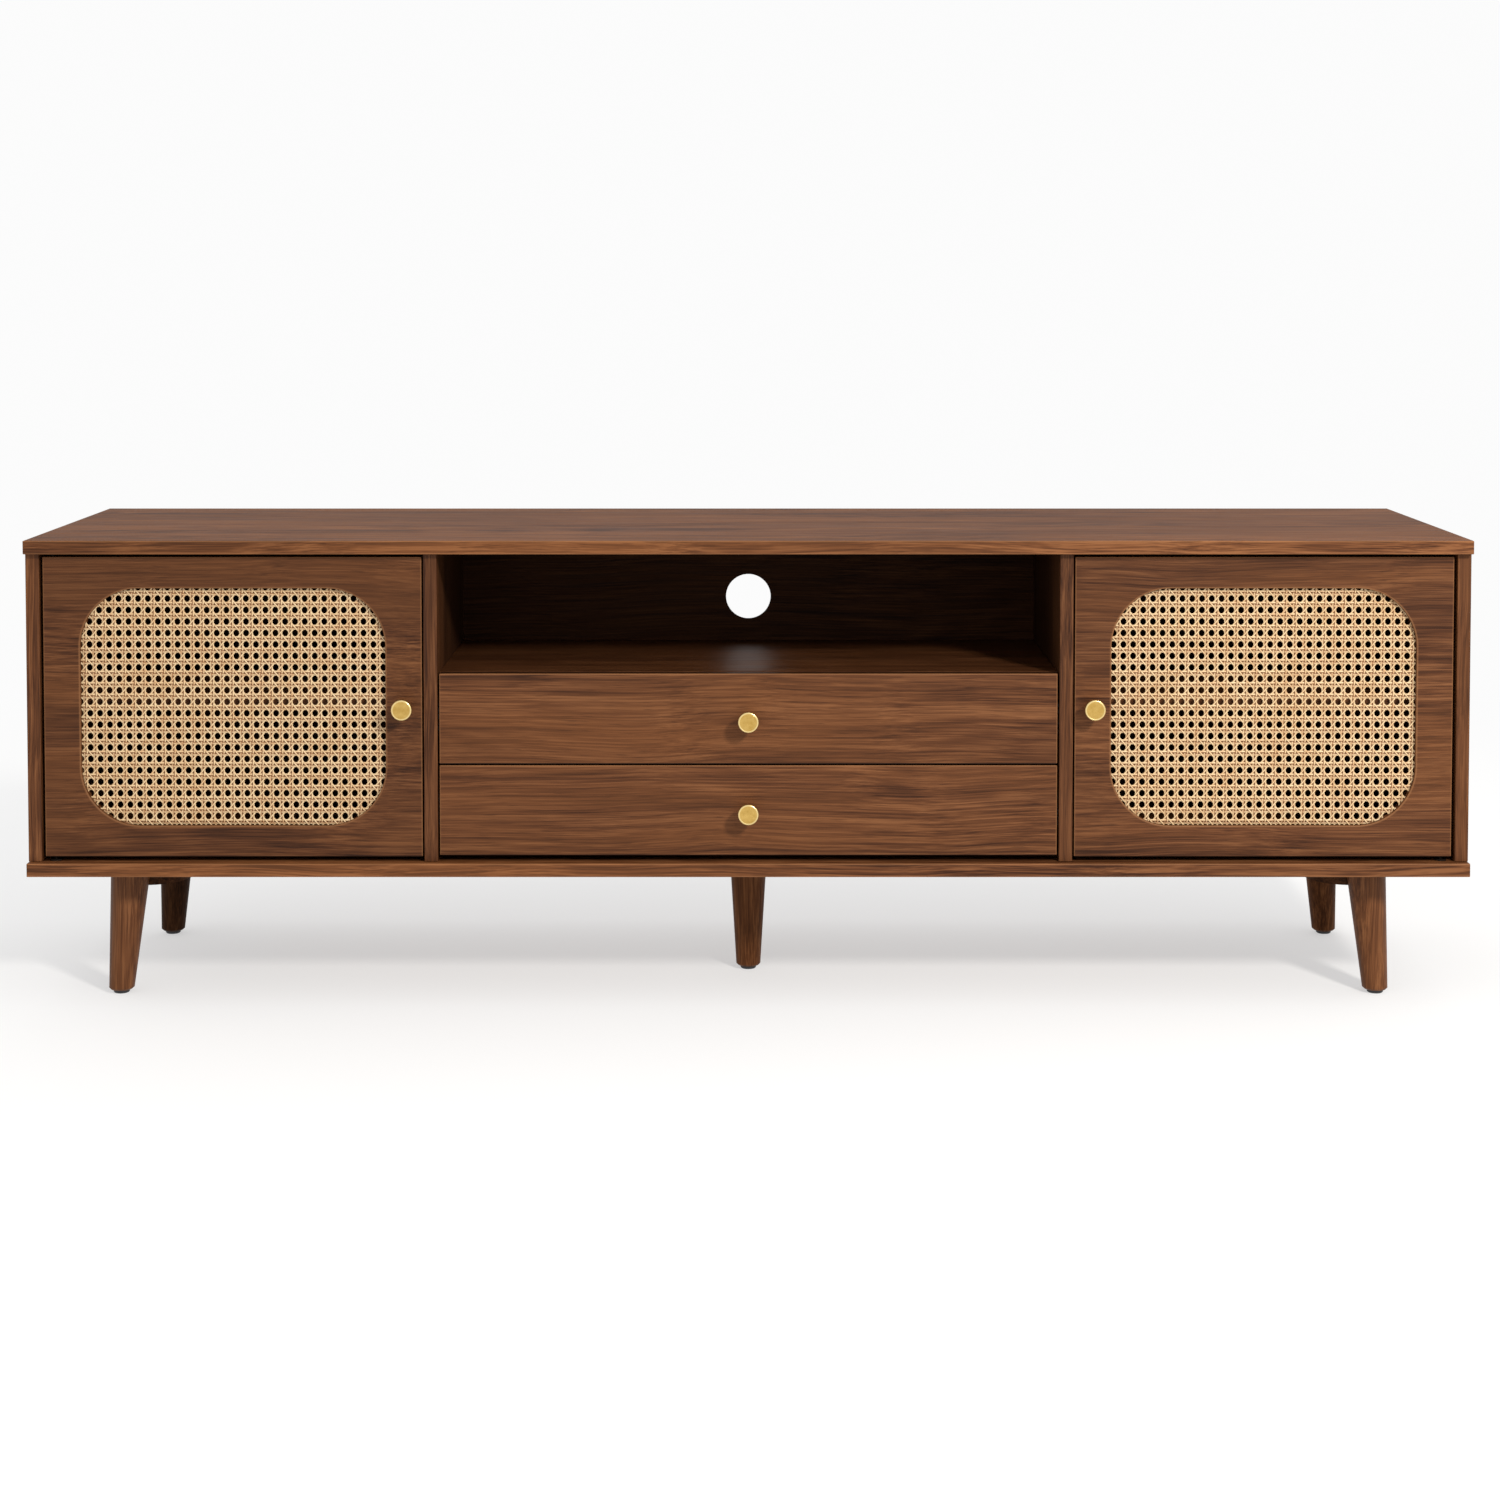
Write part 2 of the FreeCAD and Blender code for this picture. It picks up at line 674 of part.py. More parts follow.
def build_catches():
    """Magnetic catches on the dividers, and their strike plates on the doors."""
    gap = "strike_sheet + catch_gap"
    catch = board("catch", ("catch_width", "catch_depth", "catch_height"), ("0", "0", "0"))
    places = [("bay_outer" if side > 0 else "-(bay_outer + catch_width)", "face_back + " + gap,
               "catch_bottom") for side in SIDES.values()]
    copies("magnetic_catches", catch, places)
    width = "catch_width - 5"
    for name, side in SIDES.items():
        low_x = "door_inner + 1" if side > 0 else "-(door_inner + 1 + %s)" % width
        keep(board(name + "_strike_plate", (width, "strike_sheet", "catch_height - 6"),
                   (low_x, "face_back", "catch_bottom + 3"), eased=False))


# ---------------------------------------------------------------------- doors

def door_panel(label, side):
    """A door board with the rounded cane opening and its rebate at the back."""
    body = new_body(label)
    sketch = sketch_on(body, "Y")
    rectangle(sketch, "-door_width / 2", "-door_height / 2", "door_width / 2", "door_height / 2")
    rounded_rectangle(sketch, "cane_length", "cane_height", "cane_corner")
    blank = pad(body, sketch, "board", both_ways=True)
    ease_edges(body, blank)
    pocket(body, "Y", "board / 2", "2 * (board - cane_recess)",
           lambda rebate: rounded_rectangle(rebate, "cane_length + 2 * rebate_width",
                                            "cane_height + 2 * rebate_width",
                                            "cane_corner + rebate_width"))
    knob_x = times(-side, "door_width / 2 - door_knob_inset")
    knob_z = "door_knob_height - (door_low + door_high) / 2"
    drill(body, "Y", "0", "board", "knob_screw_radius + 0.2", [(knob_x, knob_z)])
    pivot = [(times(side, "pivot_x - door_middle"), "0")]
    for end in ("-door_height / 2", "door_height / 2"):
        drill(body, "Z", end, "2 * hinge_inset", "hinge_pin_radius", pivot)
    return body


def cane_sheet(label, thickness, hollow):
    """The cane, or the hollow ring that holds it, filling the rebate."""
    body = new_body(label)
    sketch = sketch_on(body, "Y")
    grip = "rebate_width - rebate_play"
    rounded_rectangle(sketch, "cane_length + 2 * (%s)" % grip, "cane_height + 2 * (%s)" % grip,
                      "cane_corner + " + grip)
    if hollow:
        rounded_rectangle(sketch, "cane_length", "cane_height", "cane_corner")
    pad(body, sketch, thickness, both_ways=True)
    return body


def build_doors():
    middle_z = "(door_low + door_high) / 2"
    ring = "board - cane_recess - cane_thickness"
    for name, side in SIDES.items():
        middle_x = times(side, "door_middle")
        keep(put(door_panel(name + "_door_panel", side), middle_x, "pivot_y", middle_z))
        cane = cane_sheet(name + "_cane_panel", "cane_thickness", hollow=False)
        keep(put(cane, middle_x, "face + cane_recess + cane_thickness / 2", middle_z))
        retainer = cane_sheet(name + "_cane_retainer", ring, hollow=True)
        keep(put(retainer, middle_x, "face_back - (%s) / 2" % ring, middle_z))


# -------------------------------------------------------------------- drawers

def drawer_front(label, low_z):
    front = board(label, ("2 * front_half", "board", "front_height"), ("-front_half", "face", low_z))
    cut_box(front, ("front_half - box_half + box_board - groove_depth", "board - groove_depth",
                    "box_rise + box_groove_rise"),
            ("front_half + box_half - box_board + groove_depth", "board + 1",
             "box_rise + box_groove_rise + groove_width"))
    drill(front, "Y", "0", "board", "knob_screw_radius + 0.2", [("front_half", "front_height / 2")])
    return keep(front)


def drawer_box(name, low_z):
    """Two sides, a back and a thin bottom held in a groove all round."""
    box_z = low_z + " + box_rise"
    groove_high = "box_groove_rise + groove_width"
    for side_name, side in SIDES.items():
        low_x = "box_half - box_board" if side > 0 else "-box_half"
        wall = board("%s_drawer_%s_side" % (name, side_name), ("box_board", "box_depth", "box_height"),
                     (low_x, "face_back", box_z))
        start, stop = ("-1", "groove_depth") if side > 0 else ("box_board - groove_depth", "box_board + 1")
        cut_box(wall, (start, "-1", "box_groove_rise"),
                (stop, "box_depth - box_board + groove_depth", groove_high))
        keep(wall)
    inner = "box_half - box_board"
    back = board(name + "_drawer_back", ("2 * (%s)" % inner, "box_board", "box_height"),
                 ("-(%s)" % inner, "face_back + box_depth - box_board", box_z))
    cut_box(back, ("-1", "-1", "box_groove_rise"), ("2 * (%s) + 1" % inner, "groove_depth", groove_high))
    keep(back)
    reach = inner + " + groove_depth - 0.2"
    keep(board(name + "_drawer_bottom",
               ("2 * (%s)" % reach, "box_depth - box_board + 2 * groove_depth - 0.4", "thin_board"),
               ("-(%s)" % reach, "face_back - groove_depth + 0.2", box_z + " + box_groove_rise"),
               eased=False))


def channel(label, web_low, web_high, lip, half):
    """A length of rolled channel: its web, and lips that reach out to lip."""
    body = new_body(label)
    sketch = sketch_on(body, "Y")
    far = web_high if number(lip) > number(web_low) else web_low
    near = web_low if far == web_high else web_high
    polygon(sketch, [(near, "-(%s)" % half), (lip, "-(%s)" % half), (lip, "slide_sheet - (%s)" % half),
                     (far, "slide_sheet - (%s)" % half), (far, "%s - slide_sheet" % half),
                     (lip, "%s - slide_sheet" % half), (lip, half), (near, half)])
    pad(body, sketch, "slide_length", both_ways=True)
    return body


def build_slides():
    """Telescopic slides: outer members on the dividers, inner on the boxes."""
    space = "bay_half - box_half"
    outer_half = "slide_height / 2"
    middle_half = outer_half + " - slide_sheet - slide_play"
    inner_half = middle_half + " - slide_sheet - slide_play"
    outer = channel("outer member", "0", "slide_sheet", "outer_lip", outer_half)
    middle = channel("middle member", "middle_start", "middle_start + slide_sheet", "middle_lip", middle_half)
    inner = channel("inner member", space + " - slide_sheet", space, "inner_lip", inner_half)
    half_turn = FreeCAD.Rotation(FreeCAD.Vector(0, 0, 1), 180)
    outer_places = []
    for name in ("upper", "lower"):
        height = name + "_front_bottom + box_rise + box_height / 2"
        places = [(times(side, "bay_half"), "slide_front + slide_length / 2", height,
                   half_turn if side > 0 else UP) for side in SIDES.values()]
        outer_places += places
        copies(name + "_slide_middle_members", middle, places)
        copies(name + "_slide_inner_members", inner, places)
    copies("slide_outer_members", outer, outer_places)


def build_drawers():
    for name in ("upper", "lower"):
        low_z = name + "_front_bottom"
        drawer_front(name + "_drawer_front", low_z)
        drawer_box(name, low_z)


# ---------------------------------------------------------------------- knobs

def build_knobs():
    """A turned knob and its screw on each drawer front and each door."""
    length = "(face_setback + knob_reach)"
    outline = [("knob_screw_radius", "0"), ("7", "0"), ("7", "1.5"), ("knob_stem_radius", "3.5"),
               ("knob_stem_radius", length + " - 13"), ("knob_radius", length + " - 8"),
               ("knob_radius", length + " - 1.6"), ("knob_radius - 1.6", length), ("0", length),
               ("0", "knob_bore"), ("knob_screw_radius", "knob_bore")]
    shank = "board + knob_bore - 0.2"
    screw = [("0", "-2.5"), ("4", "-2.5"), ("4", "0"), ("knob_screw_radius", "0"),
             ("knob_screw_radius", shank), ("0", shank)]
    places = {
        "upper_drawer": ("0", "upper_front_bottom + front_height / 2"),
        "lower_drawer": ("0", "lower_front_bottom + front_height / 2"),
        "left_door": ("-(door_inner + door_knob_inset)", "door_knob_height"),
        "right_door": ("door_inner + door_knob_inset", "door_knob_height"),
    }
    for owner, (x, z) in places.items():
        keep(put(turned(owner + "_knob", outline), x, "face", z, TO_FRONT))
        keep(put(turned(owner + "_knob_screw", screw), x, "face_back", z, TO_FRONT))


# --------------------------------------------------------------------- output

def check_document():
    """Stops unless every object and every sub-part came out sound."""
    doc.recompute()
    for item in doc.Objects:
        if "Invalid" in item.State or "Error" in item.State:
            raise ValueError("%s (%s) failed: %s" % (item.Name, item.Label, item.State))
    for node in nodes:
        if node.Shape.isNull() or not node.Shape.isValid():
            raise ValueError(node.Label + " has no sound shape")


def write_parts():
    os.makedirs("parts", exist_ok=True)
    for node in nodes:
        node.Shape.exportStep("parts/%s.step" % node.Label)
        box = node.Shape.BoundBox
        print("%-28s %d solids  x %.1f..%.1f  y %.1f..%.1f  z %.1f..%.1f" % (
            node.Label, len(node.Shape.Solids), box.XMin, box.XMax, box.YMin, box.YMax,
            box.ZMin, box.ZMax))
    print(len(nodes), "nodes")


build_sheet()
build_panels()
build_uprights()
build_shelves()
build_backs()
build_legs()
build_cleats()
build_cams()
build_shelf_pins()
build_hinges()
build_catches()
build_doors()
build_drawers()
build_slides()
build_knobs()
check_document()
write_parts()
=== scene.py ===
import logging
import math
from dataclasses import dataclass, field
from enum import Enum
from typing import Callable, Optional, Sequence, Union

import bmesh
import bpy
from mathutils import Matrix, Vector


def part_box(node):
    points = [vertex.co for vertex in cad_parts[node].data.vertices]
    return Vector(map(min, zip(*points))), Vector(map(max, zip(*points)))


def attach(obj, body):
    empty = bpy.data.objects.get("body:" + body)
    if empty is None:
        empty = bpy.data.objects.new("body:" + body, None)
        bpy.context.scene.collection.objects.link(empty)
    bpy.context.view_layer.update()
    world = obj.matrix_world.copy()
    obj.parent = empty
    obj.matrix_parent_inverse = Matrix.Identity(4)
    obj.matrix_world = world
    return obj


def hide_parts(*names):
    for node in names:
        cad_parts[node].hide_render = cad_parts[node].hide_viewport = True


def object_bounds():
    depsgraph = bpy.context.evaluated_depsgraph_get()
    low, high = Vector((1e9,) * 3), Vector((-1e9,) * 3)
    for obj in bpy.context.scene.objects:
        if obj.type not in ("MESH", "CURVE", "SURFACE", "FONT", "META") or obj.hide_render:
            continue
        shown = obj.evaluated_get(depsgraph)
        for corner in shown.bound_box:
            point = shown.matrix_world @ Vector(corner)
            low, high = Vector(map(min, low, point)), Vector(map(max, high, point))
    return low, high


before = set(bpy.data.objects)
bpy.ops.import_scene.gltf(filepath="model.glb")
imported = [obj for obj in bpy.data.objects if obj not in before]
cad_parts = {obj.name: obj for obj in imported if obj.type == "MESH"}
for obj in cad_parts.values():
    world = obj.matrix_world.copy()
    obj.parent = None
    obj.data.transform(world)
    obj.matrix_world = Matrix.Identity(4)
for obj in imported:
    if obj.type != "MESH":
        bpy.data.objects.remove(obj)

LOG = logging.getLogger("media_cabinet")
NODES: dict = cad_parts
CAD_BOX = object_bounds()
MM = 0.001
MERGE = 1e-6
EDGE = "edge"
SIDES = ("left", "right")
LEVELS = ("upper", "lower")
Number = Union[int, float]
Colour = tuple[float, float, float]


# ------------------------------------------------------------ shader language


class Socket:
    """A shader output that takes part in Python expressions."""

    def __init__(self, tree: bpy.types.NodeTree, output: bpy.types.NodeSocket) -> None:
        """Keeps the tree and the output that the value comes from."""
        self.tree = tree
        self.output = output

    def _math(self, operation: str, left: object, right: object) -> "Socket":
        """Adds one Math node to the tree and returns its result."""
        node = self.tree.nodes.new("ShaderNodeMath")
        node.operation = operation
        for place, value in ((0, left), (1, right)):
            if isinstance(value, Socket):
                self.tree.links.new(value.output, node.inputs[place])
            else:
                node.inputs[place].default_value = float(value)
        return Socket(self.tree, node.outputs[0])

    def __add__(self, other: object) -> "Socket":
        """self + other."""
        return self._math("ADD", self, other)

    def __radd__(self, other: object) -> "Socket":
        """other + self."""
        return self._math("ADD", other, self)

    def __sub__(self, other: object) -> "Socket":
        """self - other."""
        return self._math("SUBTRACT", self, other)

    def __rsub__(self, other: object) -> "Socket":
        """other - self."""
        return self._math("SUBTRACT", other, self)

    def __mul__(self, other: object) -> "Socket":
        """self * other."""
        return self._math("MULTIPLY", self, other)

    def __rmul__(self, other: object) -> "Socket":
        """other * self."""
        return self._math("MULTIPLY", other, self)

    def least(self, other: object) -> "Socket":
        """The smaller of self and other."""
        return self._math("MINIMUM", self, other)

    def most(self, other: object) -> "Socket":
        """The larger of self and other."""
        return self._math("MAXIMUM", self, other)

    def above(self, other: object) -> "Socket":
        """1 where self is greater than other, else 0."""
        return self._math("GREATER_THAN", self, other)


class Recipe:
    """One material being mixed: its tree, its shader and its coordinates."""

    def __init__(self, name: str) -> None:
        """Starts a node material with one Principled shader.

        Args:
            name: the finish's name.
        """
        self.material = bpy.data.materials.new(name)
        self.material.use_nodes = True
        self.tree = self.material.node_tree
        self.tree.nodes.clear()
        self.shader = self.tree.nodes.new("ShaderNodeBsdfPrincipled")
        output = self.tree.nodes.new("ShaderNodeOutputMaterial")
        self.tree.links.new(self.shader.outputs[0], output.inputs[0])

    def node(self, kind: str, inputs: Optional[dict] = None, result: Union[int, str] = 0,
             **settings: object) -> Socket:
        """Adds any node.

        Args:
            kind: the node's type.
            inputs: values or Sockets, by input name or number.
            result: the output to return.
            **settings: properties that are set before the inputs.

        Returns:
            The chosen output.
        """
        node = self.tree.nodes.new(kind)
        for name, value in settings.items():
            if name == "stops":
                self._set_stops(node.color_ramp, value)
            else:
                setattr(node, name, value)
        for key, value in (inputs or {}).items():
            if isinstance(value, Socket):
                self.tree.links.new(value.output, node.inputs[key])
            else:
                node.inputs[key].default_value = value
        return Socket(self.tree, node.outputs[result])

    @staticmethod
    def _set_stops(ramp: bpy.types.ColorRamp, stops: Sequence[tuple]) -> None:
        """Gives a colour ramp its stops: (place, colour) pairs in order."""
        while len(ramp.elements) < len(stops):
            ramp.elements.new(1.0)
        for element, (place, colour) in zip(ramp.elements, stops):
            element.position = place
            element.color = (*colour, 1.0)

    def place(self, offset: Sequence[Number] = (0, 0, 0),
              scale: Sequence[Number] = (1, 1, 1)) -> Socket:
        """Object coordinates in metres, moved and scaled."""
        spot = self.node("ShaderNodeTexCoord", result="Object")
        return self.node("ShaderNodeMapping",
                         {"Vector": spot, "Location": tuple(offset), "Scale": tuple(scale)})

    def vector(self, operation: str, *values: object, result: Union[int, str] = 0) -> Socket:
        """One Vector Math node on vectors or Sockets."""
        return self.node("ShaderNodeVectorMath", dict(enumerate(values)), result=result,
                         operation=operation)

    def sine(self, value: Socket) -> Socket:
        """The sine of a value in radians."""
        return self.node("ShaderNodeMath", {0: value}, operation="SINE")

    def noise(self, where: Socket, scale: Number, detail: Number = 3,
              rough: Number = 0.5) -> Socket:
        """A noise value from 0 to 1 about 0.5."""
        return self.node("ShaderNodeTexNoise", {"Vector": where, "Scale": scale,
                                                "Detail": detail, "Roughness": rough})

    def span(self, value: Socket, low: Number, high: Number, to_low: Number = 0,
             to_high: Number = 1, smooth: bool = False) -> Socket:
        """Maps a value's range onto another, held at both ends."""
        inputs = {"Value": value, "From Min": low, "From Max": high,
                  "To Min": to_low, "To Max": to_high}
        return self.node("ShaderNodeMapRange", inputs,
                         interpolation_type="SMOOTHSTEP" if smooth else "LINEAR")

    def within(self, distance: Socket, full: Number, none: Number) -> Socket:
        """1 up to a distance of full, falling to 0 at none."""
        return self.span(distance, full, none, 1.0, 0.0)

    def blend(self, factor: object, first: object, second: object) -> Socket:
        """Mixes two colours."""
        def paint(value: object) -> object:
            """A colour with its alpha, or the Socket as it is."""
            return value if isinstance(value, Socket) else (*value, 1.0)
        node = self.tree.nodes.new("ShaderNodeMix")
        node.data_type = "RGBA"
        for place, value in ((0, factor), (6, paint(first)), (7, paint(second))):
            if isinstance(value, Socket):
                self.tree.links.new(value.output, node.inputs[place])
            else:
                node.inputs[place].default_value = value
        return Socket(self.tree, node.outputs[2])

    def bump(self, height: Socket, depth: Number, strength: Number = 1.0) -> Socket:
        """A normal from a height from 0 to 1, depth metres tall."""
        return self.node("ShaderNodeBump",
                         {"Height": height, "Distance": depth, "Strength": strength})

    def finish(self, **inputs: object) -> bpy.types.Material:
        """Feeds the shader; an input's spaces are written as underscores.

        Args:
            **inputs: values or Sockets for the shader's inputs.

        Returns:
            The finished material.
        """
        for name, value in inputs.items():
            place = self.shader.inputs[name.replace("_", " ")]
            if isinstance(value, Socket):
                self.tree.links.new(value.output, place)
            elif isinstance(value, tuple):
                place.default_value = (*value, 1.0) if len(value) == 3 else value
            else:
                place.default_value = value
        return self.material


class Grain(Enum):
    """The axis that a board's or leg's grain follows."""

    ALONG = 0
    DEEP = 1
    UPRIGHT = 2


# ------------------------------------------------------------------- finishes


class Face(Enum):
    """Which painted highlights and painted shade a board gets along its edges."""

    PLAIN = 0
    FRONT = 1
    TOP = 2
    DIVIDER = 3


@dataclass(frozen=True)
class Streaks:
    """One layer of the figure: how fine it is, and its share of the whole."""

    across: float
    along: float
    detail: float
    rough: float
    share: float = 0.0


# Repeats a metre across and down the grain, from the broadest layer down.
BROAD = Streaks(12.0, 1.3, 1.0, 0.4)
WARMTH = Streaks(22.0, 1.8, 2.0, 0.5)
BANDS = Streaks(48.0, 2.4, 2.0, 0.5, share=0.19)
STREAKS = Streaks(220.0, 3.4, 2.0, 0.55, share=0.28)
THREADS = Streaks(560.0, 5.5, 3.0, 0.7, share=0.53)
PORES = Streaks(1000.0, 36.0, 1.0, 0.5)
ARCH_TURNS = 110.0
ARCH_SHARE = 0.018
FIGURE_MIDDLE = 0.5025
FIGURE_REACH = 0.1425

# STAIN scales every walnut colour and WARM_STAIN is its warmer streak. The next three are painted
# light: a painted highlight on eased edges, painted shade in the gaps around doors and drawers, and
# painted shade on the dividers' faces inside the compartments.
STAIN: Colour = (0.86, 0.85, 0.83)
WARM_STAIN: Colour = (0.200, 0.072, 0.022)
PAINTED_EDGE_HIGHLIGHT: Colour = (0.330, 0.150, 0.062)
GAP_SHADE: Colour = (0.010, 0.0035, 0.0014)
BAY_SHADE: Colour = (0.020, 0.0070, 0.0024)

# The cane sheet runs this far behind the door around the opening.
OPENING_LAP = 11.6 * MM
OPENING_CORNER = 66.0 * MM
ANY_DEPTH = 10.0


@dataclass(frozen=True)
class Walnut:
    """Walnut figure, as printed foil or as stained solid wood.

    Its tone value lightens or darkens it all: the wood's own tone, and on parts that sit in shade
    also painted shade.
    contrast parts its dark and pale streaks, and shine is its specular level. board names the CAD
    node whose edges get painted highlights and painted shade as face says. opening names the cane
    sheet in a door's opening, whose edge gets a painted highlight.
    """

    name: str
    grain: Grain
    dark: Colour = (0.036, 0.0112, 0.0036)
    middle: Colour = (0.116, 0.0400, 0.0136)
    light: Colour = (0.225, 0.0900, 0.0340)
    seed: float = 0.0
    gloss: float = 0.46
    streak: float = 1.0
    tone_and_shade: float = 1.0
    board: str = ""
    face: Face = Face.PLAIN
    opening: str = ""
    shine: float = 0.14
    contrast: float = 1.2

    def layer(self, mix: Recipe, bent: Socket, streaks: Streaks) -> Socket:
        """Stretches one layer of noise down the grain.

        Args:
            mix: the material being mixed.
            bent: the swaying coordinates.
            streaks: the layer's sizes.

        Returns:
            The layer's value, from 0 to 1 about 0.5.
        """
        scale = tuple(streaks.along if way == self.grain.value else streaks.across
                      for way in range(3))
        return mix.noise(mix.vector("MULTIPLY", bent, scale), 1.0, streaks.detail, streaks.rough)

    def shade(self, colour: Colour) -> Colour:
        """A colour at this board's tone value, which on shaded parts is also painted shade."""
        return tuple(part * self.tone_and_shade * share for part, share in zip(colour, STAIN))

    def edged(self, mix: Recipe, paint: Socket) -> Socket:
        """Adds painted highlights on the eased edges and painted shade on the sides of one board.

        Args:
            mix: the material being mixed.
            paint: the board's colour.

        Returns:
            The colour with its painted highlights and painted shade.
        """
        if self.face is Face.PLAIN:
            return paint
        low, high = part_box(self.board)
        spot = mix.place()
        x, y, z = (mix.node("ShaderNodeSeparateXYZ", {"Vector": spot}, result=way)
                   for way in range(3))
        depth = y - low[1]
        # pale is the colour of the painted highlights on the eased edges.
        pale = self.shade(PAINTED_EDGE_HIGHLIGHT)
        # A divider's side faces get painted shade, deeper towards the back of the compartments.
        if self.face is Face.DIVIDER:
            sides = depth.above(1.2 * MM) * (high[1] - y).above(1.2 * MM)
            bay_shade_mask = mix.span(depth, 4.0 * MM, 110.0 * MM, 0.35, 0.75, smooth=True) * sides
            return mix.blend(bay_shade_mask, paint, self.shade(BAY_SHADE))
        front = mix.within(depth, 0.9 * MM, 1.8 * MM)
        # Top and bottom panels: painted highlights along the front face's upper and lower edges.
        if self.face is Face.TOP:
            upper = mix.within(high[2] - z, 0.6 * MM, 2.0 * MM)
            lower = mix.within(z - low[2], 0.4 * MM, 2.2 * MM)
            return mix.blend((upper * 0.35).most(lower * 0.30) * front, paint, pale)
        # Fronts: a painted highlight line along the sides and top of the front face, and painted
        # shade along its bottom edge and on the side faces in the gaps.
        sides = (x - low[0]).least(high[0] - x)
        rim = sides.least(high[2] - z)
        line = mix.within(rim, 0.4 * MM, 1.6 * MM) * front
        under = mix.within(z - low[2], 0.9 * MM, 1.6 * MM)
        gap = mix.within(rim, 0.2 * MM, 0.6 * MM) * (1 - front)
        lined = mix.blend(line * 0.60, paint, pale)
        # A door also gets a painted highlight along the edge of its opening.
        if self.opening:
            lined = mix.blend(self.around(mix, spot) * front * 0.55, lined, pale)
        return mix.blend((gap * 0.70).most(under * 0.95), lined, self.shade(GAP_SHADE))

    def around(self, mix: Recipe, spot: Socket) -> Socket:
        """A painted highlight: a thin line on the eased edge of a door's round-cornered opening.

        Args:
            mix: the material being mixed.
            spot: the board's coordinates.

        Returns:
            1 on the edge, falling to 0 within about two millimetres.
        """
        low, high = (Vector(corner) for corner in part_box(self.opening))
        inset = OPENING_LAP + OPENING_CORNER
        straight = (high - low) / 2 - Vector((inset, 0.0, inset))
        straight.y = ANY_DEPTH
        folded = mix.vector("ABSOLUTE", mix.vector("SUBTRACT", spot, (low + high) / 2))
        over = mix.vector("MAXIMUM", mix.vector("SUBTRACT", folded, straight), (0.0, 0.0, 0.0))
        away = mix.vector("LENGTH", over, result="Value")
        return mix.within(away - OPENING_CORNER, 0.8 * MM, 2.2 * MM)

    def bent(self, mix: Recipe) -> Socket:
        """Coordinates of this board's own stretch of figure, swaying gently."""
        where = mix.place(offset=(self.seed * 3.1, self.seed * 1.7, self.seed * 2.3))
        wander = mix.node("ShaderNodeTexNoise", {"Vector": where, "Scale": 4.0, "Detail": 1.0,
                                                 "Roughness": 0.4}, result="Color")
        drift = mix.vector("SUBTRACT", wander, (0.5, 0.5, 0.5))
        sway = mix.node("ShaderNodeVectorMath", {0: drift, "Scale": 22.0 * MM}, operation="SCALE")
        return mix.vector("ADD", where, sway)

    def make(self) -> bpy.types.Material:
        """Builds the material: bands, arches, streaks, threads, pores and sheen."""
        mix = Recipe(self.name)
        bent = self.bent(mix)
        broad = self.layer(mix, bent, BROAD)
        streaks = self.layer(mix, bent, STREAKS)
        threads = self.layer(mix, bent, THREADS)
        pores = mix.span(self.layer(mix, bent, PORES), 0.58, 0.70)
        figure = (self.layer(mix, bent, BANDS) * BANDS.share
                  + streaks * (STREAKS.share * self.streak) + threads * THREADS.share
                  + mix.sine(broad * ARCH_TURNS) * ARCH_SHARE)
        reach = FIGURE_REACH / self.contrast
        level = mix.span(figure, FIGURE_MIDDLE - reach, FIGURE_MIDDLE + reach)
        dark = self.shade(self.dark)
        paint = mix.node("ShaderNodeValToRGB", {"Fac": level},
                         stops=[(0.0, dark), (0.48, self.shade(self.middle)),
                                (1.0, self.shade(self.light))])
        warm = mix.span(self.layer(mix, bent, WARMTH), 0.40, 0.66, 0.0, 0.38)
        tinted = mix.blend(warm, paint, self.shade(WARM_STAIN))
        shaded = mix.blend(mix.span(broad, 0.36, 0.56, 0.26, 0.0), tinted, dark)
        pored = mix.blend(pores * 0.38, shaded, dark)
        rough = mix.span(streaks, 0.3, 0.7, self.gloss - 0.05, self.gloss + 0.08)
        relief = threads * 0.5 + streaks * 0.3 - pores * 0.5
        return mix.finish(Base_Color=self.edged(mix, pored), Roughness=rough,
                          Normal=mix.bump(relief, 0.25 * MM, 0.30), Specular_IOR_Level=self.shine)


@dataclass(frozen=True)
class Cane:
    """Split cane: pale, glossy strips with browner sides and warm patches; the browner sides are
    partly the cane's own darker edges and partly painted shade between strands.
    """

    name: str
    pale: Colour = (0.705, 0.535, 0.315)
    warm: Colour = (0.565, 0.355, 0.165)
    # side is the colour of the strips' browner sides: partly their own darker edges, partly painted
    # shade between strands.
    side: Colour = (0.200, 0.070, 0.020)
    fleck: Colour = (0.520, 0.240, 0.085)
    fibre: Colour = (0.430, 0.260, 0.110)

    def make(self) -> bpy.types.Material:
        """Builds the material from patches, fibres, flecks and darker sides, partly painted shade.
        """
        mix = Recipe(self.name)
        where = mix.place()
        edge = mix.node("ShaderNodeAttribute", result="Fac", attribute_name=EDGE)
        patches = mix.span(mix.noise(where, 60.0, 2.0), 0.42, 0.68)
        spots = mix.span(mix.noise(where, 210.0, 1.0), 0.50, 0.70)
        fibres = mix.noise(where, 900.0, 2.0, 0.6)
        body = mix.blend(patches * 0.45, self.pale, self.warm)
        spotted = mix.blend(spots * 0.45, body, self.fleck)
        lined = mix.blend(mix.span(fibres, 0.35, 0.65, 0.0, 0.30), spotted, self.fibre)
        # Browner sides: partly the cane's own darker edges, partly painted shade between strands.
        sides_and_shade = mix.blend(mix.span(edge + fibres * 0.4, 0.50, 1.05, 0.0, 0.95), lined, self.side)
        return mix.finish(Base_Color=sides_and_shade, Roughness=mix.span(fibres, 0.3, 0.7, 0.34, 0.50),
                          Normal=mix.bump(fibres, 0.1 * MM, 0.4), Specular_IOR_Level=0.35)


